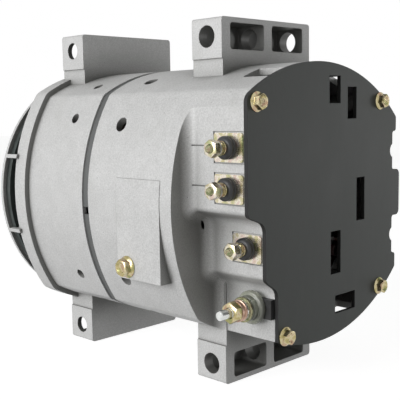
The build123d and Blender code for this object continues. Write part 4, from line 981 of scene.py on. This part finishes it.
@dataclass
class Rotor(Assembly):
    """What turns: shaft, claw poles, coil, slip rings and fan, with the fan's rivets and pressed ring."""

    seed: int = 8
    rim_len: float = 7.8
    disc_thk: float = 2.5
    blades: int = 12
    rivets: tuple[tuple[float, float], ...] = ((66.0, 5.0), (88.0, 19.0))
    rivet_r: float = 3.2
    rivet_h: float = 1.7
    ring_radii: tuple[float, float] = (40.0, 50.0)
    ring_h: float = 1.8
    bead_steps: int = 8

    def face(self) -> float:
        """Station of the fan disc's front face, in millimetres."""
        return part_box("fan")[1][1] / MM - self.rim_len + self.disc_thk

    def fan_details(self) -> None:
        """Adds the rivets that hold the blades, and the ring pressed into the disc."""
        rim = self.rivet_r
        rivet = MeshShop.turned("rivet", ((rim, -1.0), (rim, 0.0), (rim * 0.94, 0.7), (rim * 0.70, 1.35),
                                          (rim * 0.25, self.rivet_h)), 20)
        spots = [(r, FULL_TURN * i / self.blades + math.radians(a)) for i in range(self.blades)
                 for r, a in self.rivets]
        places = [(r * math.cos(t), self.face(), r * math.sin(t)) for r, t in spots]
        self.add("fan_rivet_set", rivet, places, self.finishes.steel, "bright_steel", way=Way.TOWARDS_DRIVE,
                 body=ROTOR_BODY)
        low, high = self.ring_radii
        shares = [i / self.bead_steps for i in range(self.bead_steps + 1)]
        bead = [(low + (high - low) * share, self.ring_h * math.sin(math.pi * share)) for share in shares]
        ring = MeshShop.turned("bead", [(low, -0.8), *bead, (high, -0.8)], 96, bored=True)
        self.add("fan_pressed_ring", ring, [(0.0, self.face(), 0.0)], self.finishes.fan, "dark_steel",
                 way=Way.TOWARDS_DRIVE, body=ROTOR_BODY)

    def build(self) -> None:
        """Gives the turning solids their finishes."""
        own = self.finishes
        self.fan_details()
        self.dress(own.shaft, "rotor_shaft")
        self.dress(own.steel, "shaft_spacer", "fan_hub", "drive_end_bearing_inner_ring",
                   "slip_end_bearing_inner_ring", "drive_end_bearing_balls", "slip_end_bearing_balls")
        self.dress(own.core, "rear_claw_pole", "front_claw_pole")
        self.dress(own.wire, "field_coil")
        self.dress(own.black, "slip_ring_hub")
        self.dress(own.copper, "slip_rings")
        self.dress(own.brass, "drive_end_bearing_cage", "slip_end_bearing_cage")
        self.dress(own.fan, "fan")


@dataclass
class CoverAndBolts(Assembly):
    """The cover plate, its flange bolts and the earth bolt."""

    seed: int = 4
    flange_r: float = 7.1
    flange_h: float = 1.4
    collar_r: float = 5.5
    flats: float = 10.0
    head_h: float = 4.59
    dish: float = 0.9
    shank_r: float = 3.0
    cover_y: float = -290.0
    grip: float = 17.2
    cover_places: tuple[tuple[float, float], ...] = (
        (79.4, 77.0), (79.4, -77.0), (-73.7, 77.0), (-44.3, -93.9))
    earth_place: Point = (-101.65, -180.5, -47.5)
    earth_grip: float = 14.0
    earth_size: float = 1.22

    def bolt(self, name: str, grip: float, size: float = 1.0) -> Mesh:
        """One flange bolt with its seat at the origin and its head along +Z.

        Args:
            name: Name of the mesh.
            grip: Length of the shank below the seat.
            size: Size of the head, as a share of a cover bolt's.

        Returns:
            The mesh.
        """
        rim = self.flange_r * size
        collar = self.collar_r * size
        rise = self.flange_h * size
        flange = MeshShop.turned(name + "_flange", (
            (self.shank_r, -grip + 0.6), (self.shank_r, -0.02), (rim - 0.25, 0.0), (rim, 0.25), (rim, 0.65),
            (rim - 0.3, 0.95), (collar, rise + 0.35), (collar - 0.6, rise + 0.6)))
        head = MeshShop.hexagon(name + "_head", self.flats * size, self.head_h * size, dish=self.dish * size)
        return MeshShop.joined(name, ((flange, Matrix()), (head, Matrix.Translation((0.0, 0.0, rise * MM)))))

    def build(self) -> None:
        """Makes the bolts and finishes the plate."""
        own = self.finishes
        self.dress(own.cover, "rear_cover_plate")
        places = [(x, self.cover_y, z) for x, z in self.cover_places]
        self.add("cover_bolt_set", self.bolt("cover_bolt", self.grip), places, own.zinc, "yellow_zinc",
                 ("cover_bolts",), HEX_TURN, Way.TOWARDS_COVER)
        large = self.bolt("earth_bolt_model", self.earth_grip, self.earth_size)
        self.add("earth_bolt_head", large, [self.earth_place], own.zinc, "yellow_zinc", ("earth_bolt",),
                 HEX_TURN)


@dataclass
class SmallTerminals(Assembly):
    """Three insulated terminals, each on a plated tab."""

    seed: int = 11
    row_y: float = -271.3
    rows: tuple[tuple[float, float], ...] = ((-82.5, 45.7), (-82.5, 16.6), (-64.1, -28.0))
    wall: float = 5.0
    pocket: float = 0.8
    tab: float = 1.5
    collar_h: float = 6.0
    washer_h: float = 1.4
    jam_flats: float = 9.5
    jam_h: float = 3.5
    lock_h: float = 2.0
    nut_flats: float = 11.0
    nut_h: float = 5.5
    tip: float = 2.0
    stud_r: float = 3.0
    stud_pitch: float = 1.0
    head_r: float = 6.0
    head_h: float = 3.0
    thread_bore_r: float = 2.95
    bore_r: float = 3.1
    neck_r: float = 4.6
    washer_r: float = 5.0
    collar_r: float = 8.3
    lock_spin: float = 2.5
    stud_spin: float = 1.0

    def seats(self, depth: float) -> list[Point]:
        """Places on the three terminals' axes, this far outwards from the pocket floor."""
        return [(x + self.pocket - depth, self.row_y, z) for x, z in self.rows]

    def build(self) -> None:
        """Makes the collars, studs, washers and nuts."""
        own = self.finishes
        self.dress(own.pale_zinc, "terminal_tabs")
        inside = -(self.wall + self.tab - self.pocket)
        bore, rim, waist = self.bore_r, self.collar_r, self.collar_r - 0.7
        collar = MeshShop.turned("collar", (
            (bore, inside), (self.neck_r, inside), (self.neck_r, -0.01), (rim - 0.2, 0.0), (rim, 0.2),
            (rim, 1.5), (waist, 2.0), (waist, 2.7), (rim - 0.1, 3.0), (rim - 0.1, 4.2),
            (rim - 1.2, self.collar_h - 0.6), (rim - 2.3, self.collar_h), (bore, self.collar_h)), bored=True)
        rim, top = self.washer_r, self.washer_h
        washer = MeshShop.turned("washer", (
            (bore, 0.0), (rim - 0.1, 0.0), (rim, 0.15), (rim, top - 0.3), (rim - 0.25, top), (bore, top)),
            bored=True)
        jam = MeshShop.hexagon("jam", self.jam_flats, self.jam_h, self.thread_bore_r)
        lock = MeshShop.split_ring("lock", self.washer_r, bore, self.lock_h)
        nut = MeshShop.hexagon("nut", self.nut_flats, self.nut_h, self.thread_bore_r)
        stack = (
            ("terminal_collars", collar, self.collar_h, own.black, "black_plastic", "terminal_insulators",
             0.0),
            ("terminal_washer_set", washer, self.washer_h, own.zinc, "yellow_zinc", "terminal_washers", 0.0),
            ("terminal_jam_nut_set", jam, self.jam_h, own.zinc, "yellow_zinc", "terminal_jam_nuts", HEX_TURN),
            ("terminal_lock_set", lock, self.lock_h, own.steel, "bright_steel", "terminal_lock_washers",
             self.lock_spin),
            ("terminal_nut_set", nut, self.nut_h, own.pale_zinc, "yellow_zinc", "terminal_nuts", HEX_TURN))
        level = self.tab
        for name, model, height, finish, slot, node, spin in stack:
            self.add(name, model, self.seats(level), finish, slot, (node,), spin)
            level += height
        level += self.tip
        start = self.wall - self.pocket
        foot = ((self.head_r, -self.head_h), (self.head_r, -0.01), (self.stud_r, 0.0))
        stud = MeshShop.thread("stud", self.stud_r, self.stud_pitch, level + start, foot)
        lowered = MeshShop.joined("stud_set_down", ((stud, Matrix.Translation((0.0, 0.0, -start * MM))),))
        self.add("terminal_stud_set", lowered, self.seats(0.0), own.olive_zinc, "yellow_zinc",
                 ("terminal_studs",), self.stud_spin)


@dataclass
class OutputTerminal(Assembly):
    """The large terminal: block, clear insulator, washers, copper ring, nut and stud."""

    seed: int = 5
    x: float = -51.0
    y: float = -268.8
    z: float = -73.0
    wall: float = 5.0
    strap: float = 2.5
    insulator_at: float = 5.0
    washer_at: float = 15.2
    lock_at: float = 17.0
    copper_at: float = 19.2
    nut_at: float = 24.2
    tip_at: float = 41.2
    bore_r: float = 4.1
    lock_r: float = 8.0
    lock_spin: float = 3.0
    nut_flats: float = 14.0
    nut_h: float = 6.5
    nut_bore_r: float = 3.95
    stud_r: float = 4.0
    stud_pitch: float = 1.25
    head_r: float = 7.0
    head_h: float = 3.0
    pilot_r: float = 3.6
    pilot: float = 10.0

    def seat(self, level: float) -> list[Point]:
        """The place on the terminal's axis this far out from the flat."""
        return [(self.x - level, self.y, self.z)]

    def stud(self) -> Mesh:
        """Threaded stud with a round head inside and a plain pilot outside.

        Returns:
            The mesh, with the flat at the origin.
        """
        inside = self.wall + self.strap
        rise = self.tip_at - self.pilot
        foot = ((self.head_r, -self.head_h), (self.head_r, -0.01), (self.stud_r, 0.0))
        rod = MeshShop.thread("rod", self.stud_r, self.stud_pitch, rise + inside, foot)
        pilot = MeshShop.turned("pilot", ((self.pilot_r - 0.4, -0.5), (self.pilot_r, 0.0),
                                          (self.pilot_r, self.pilot - 0.7), (self.pilot_r - 0.7, self.pilot)))
        return MeshShop.joined("big_stud", ((rod, Matrix.Translation((0, 0, -inside * MM))),
                                            (pilot, Matrix.Translation((0, 0, rise * MM)))))

    def build(self) -> None:
        """Makes the stack."""
        own = self.finishes
        bore = self.bore_r
        self.dress(own.black, "output_block")
        skirt = MeshShop.turned("skirt", (
            (bore, 0.0), (12.2, 0.0), (12.6, 0.4), (12.6, 2.8), (12.0, 3.8), (11.0, 4.3), (10.4, 4.0),
            (9.5, 4.3), (9.5, 7.4), (9.2, 8.0), (8.6, 8.3), (8.6, 10.2), (bore, 10.2)), 56, bored=True)
        washer = MeshShop.turned("flat", ((bore, 0.0), (9.3, 0.0), (9.5, 0.2), (9.5, 1.4), (9.1, 1.8),
                                          (bore, 1.8)), bored=True)
        lock = MeshShop.split_ring("lock", self.lock_r, bore, self.copper_at - self.lock_at)
        bush = MeshShop.turned("copper", (
            (bore, 0.0), (7.8, 0.0), (8.0, 0.2), (8.0, 1.2), (7.2, 1.5), (7.2, 3.6), (7.8, 3.9), (7.8, 4.8),
            (7.6, 5.0), (bore, 5.0)), bored=True)
        nut = MeshShop.hexagon("big_nut", self.nut_flats, self.nut_h, self.nut_bore_r)
        stack = (
            ("output_clear_insulator", skirt, self.insulator_at, own.clear, "clear_plastic",
             "output_insulator", 0.0),
            ("output_flat_washer", washer, self.washer_at, own.olive_zinc, "bright_steel", "output_washer",
             0.0),
            ("output_split_washer", lock, self.lock_at, own.stud, "bright_steel", "output_lock_washer",
             self.lock_spin),
            ("output_copper_bush", bush, self.copper_at, own.copper, "copper", "output_copper_ring", 0.0),
            ("output_hex_nut", nut, self.nut_at, own.zinc, "yellow_zinc", "output_nut", HEX_TURN),
            ("output_threaded_stud", self.stud(), 0.0, own.stud, "bright_steel", "output_stud", 0.0))
        for name, model, level, finish, slot, node, spin in stack:
            self.add(name, model, self.seat(level), finish, slot, (node,), spin)


@dataclass
class Studio:
    """Camera, pale floor, white surroundings and soft lamps."""

    camera_place: Point = (-0.481862, -0.645279, 0.07181)
    azimuth: float = -44.732
    elevation: float = 6.515
    roll: float = -0.992
    lens: float = 70.657
    sensor: float = 36.0
    floor_z: float = -0.1413
    floor_half: float = 6.0
    ambient: float = 0.17
    floor_grey: float = 0.34
    floor_glow: float = 0.90
    flag_grey: float = 0.03
    ambient_tint: Colour = (0.99, 1.0, 0.955, 1.0)
    middle: Point = (0.0, -0.15, 0.0)
    lamps: tuple[tuple[str, Point, float, float], ...] = (
        ("key_lamp", (-1.9, 0.12, 0.42), 1.2, 33.0), ("top_lamp", (0.3, 0.3, 2.2), 1.6, 3.0),
        ("side_lamp", (1.6, -1.4, -0.04), 0.7, 12.0))
    flags: tuple[tuple[str, Point, float, float, float], ...] = (
        ("side_flag", (1.0, -1.35, -0.14), 0.55, 1.1, 45.0), ("back_flag", (1.5, 1.5, 0.0), 1.5, 1.3, -45.0))

    def camera(self) -> None:
        """Sets the camera where the photograph was taken from."""
        turn, tilt, roll = (math.radians(v) for v in (self.azimuth, self.elevation, self.roll))
        back = Vector((math.sin(turn) * math.cos(tilt), -math.cos(turn) * math.cos(tilt), math.sin(tilt)))
        right = Vector((math.cos(turn), math.sin(turn), 0.0))
        up = back.cross(right)
        side = right * math.cos(roll) + up * math.sin(roll)
        top = up * math.cos(roll) - right * math.sin(roll)
        data = bpy.data.cameras.new("camera")
        data.lens = self.lens
        data.sensor_width = self.sensor
        data.clip_start = 0.01
        camera = link("camera", data)
        camera.matrix_world = Matrix((
            (side.x, top.x, back.x, self.camera_place[0]), (side.y, top.y, back.y, self.camera_place[1]),
            (side.z, top.z, back.z, self.camera_place[2]), (0.0, 0.0, 0.0, 1.0)))
        bpy.context.scene.camera = camera

    @staticmethod
    def plane(name: str, corners: Iterable[Point], material: Material) -> bpy.types.Object:
        """Puts one four-cornered face into the scene.

        Args:
            name: Its name.
            corners: Its corners in turn, in metres.
            material: Its material.

        Returns:
            The object.
        """
        mesh = bpy.data.meshes.new(name)
        mesh.from_pydata(list(corners), [], [(0, 1, 2, 3)])
        mesh.materials.append(material)
        return link(name, mesh)

    def lamp(self, name: str, place: Point, size: float, power: float) -> None:
        """Adds one soft lamp that faces the object.

        Args:
            name: Its name.
            place: Where it stands.
            size: Side of its square.
            power: Its power in watts.
        """
        data = bpy.data.lights.new(name, "AREA")
        data.shape = "SQUARE"
        data.size = size
        data.energy = power
        lamp = link(name, data)
        lamp.location = place
        lamp.rotation_euler = (Vector(self.middle) - Vector(place)).to_track_quat("-Z", "Y").to_euler()

    @staticmethod
    def seen(bench: Bench) -> Wire:
        """1 for camera, glossy and transmission rays, 0 for the light that falls on the object.

        Args:
            bench: Tree to add the nodes to.

        Returns:
            That value.
        """
        rays = bench.node("ShaderNodeLightPath")
        names = ("Is Camera Ray", "Is Glossy Ray", "Is Transmission Ray")
        first, *others = (Wire(bench, rays.outputs[name]) for name in names)
        for other in others:
            first = first.maths("MAXIMUM", other)
        return first

    def world(self) -> None:
        """White surroundings for what is seen, and a softer level for what they light."""
        world = bpy.data.worlds.new("surroundings")
        bpy.context.scene.world = world
        world.use_nodes = True
        bench = Bench(world.node_tree)
        seen = self.seen(bench)
        fill = bench.wire("ShaderNodeBackground", None,
                          {"Color": self.ambient_tint, "Strength": self.ambient})
        white = bench.wire("ShaderNodeBackground", None, {"Color": grey(1.0), "Strength": 1.0})
        light = bench.wire("ShaderNodeMixShader", None, {0: seen, 1: fill, 2: white})
        bench.node("ShaderNodeOutputWorld", None, {"Surface": light})

    def floor(self) -> None:
        """Pale floor that keeps the object's shadow."""
        half = self.floor_half
        box = Paintbox("floor_white")
        seen = self.seen(box)
        matt = box.wire("ShaderNodeBsdfDiffuse", None, {"Color": grey(self.floor_grey)})
        glow = box.wire("ShaderNodeEmission", None, {"Color": grey(1.0), "Strength": seen * self.floor_glow})
        both = box.wire("ShaderNodeAddShader", None, {0: matt, 1: glow})
        box.node("ShaderNodeOutputMaterial", None, {"Surface": both})
        corners = ((-half, -half), (half, -half), (half, half), (-half, half))
        floor = self.plane("floor", [(x, y, self.floor_z) for x, y in corners], box.material)

    def flag(self, name: str, base: Point, half: float, height: float, turn_deg: float) -> None:
        """Upright dark card, out of the camera's sight, that gives the metal something dark to reflect.

        Args:
            name: Its name.
            base: Middle of its lower edge.
            half: Half its width.
            height: Its height.
            turn_deg: Its turn about +Z from the XZ plane.
        """
        corners = ((-half, 0.0, 0.0), (half, 0.0, 0.0), (half, 0.0, height), (-half, 0.0, height))
        turn = Matrix.Rotation(math.radians(turn_deg), 4, "Z")
        box = Paintbox(name + "_black")
        cloth = box.wire("ShaderNodeBsdfDiffuse", None, {"Color": grey(self.flag_grey)})
        box.node("ShaderNodeOutputMaterial", None, {"Surface": cloth})
        card = self.plane(name, [turn @ Vector(c) + Vector(base) for c in corners], box.material)
        card.visible_camera = False
        card.visible_shadow = False

    def build(self) -> None:
        """Sets up the studio."""
        bpy.context.scene.view_settings.view_transform = "Standard"
        self.camera()
        self.world()
        self.floor()
        for flag in self.flags:
            self.flag(*flag)
        for lamp in self.lamps:
            self.lamp(*lamp)


def main() -> None:
    """Builds the sub-assemblies in order."""
    logging.basicConfig(level=logging.INFO, format="%(message)s")
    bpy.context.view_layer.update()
    finishes = Finishes()
    scatter = Scatter("fastener_copies")
    Studio().build()
    for group in (Castings, Rotor, CoverAndBolts, SmallTerminals, OutputTerminal):
        group(finishes, scatter).build()
        LOG.info("%s done", group.__name__)


if __name__ == "__main__":
    main()
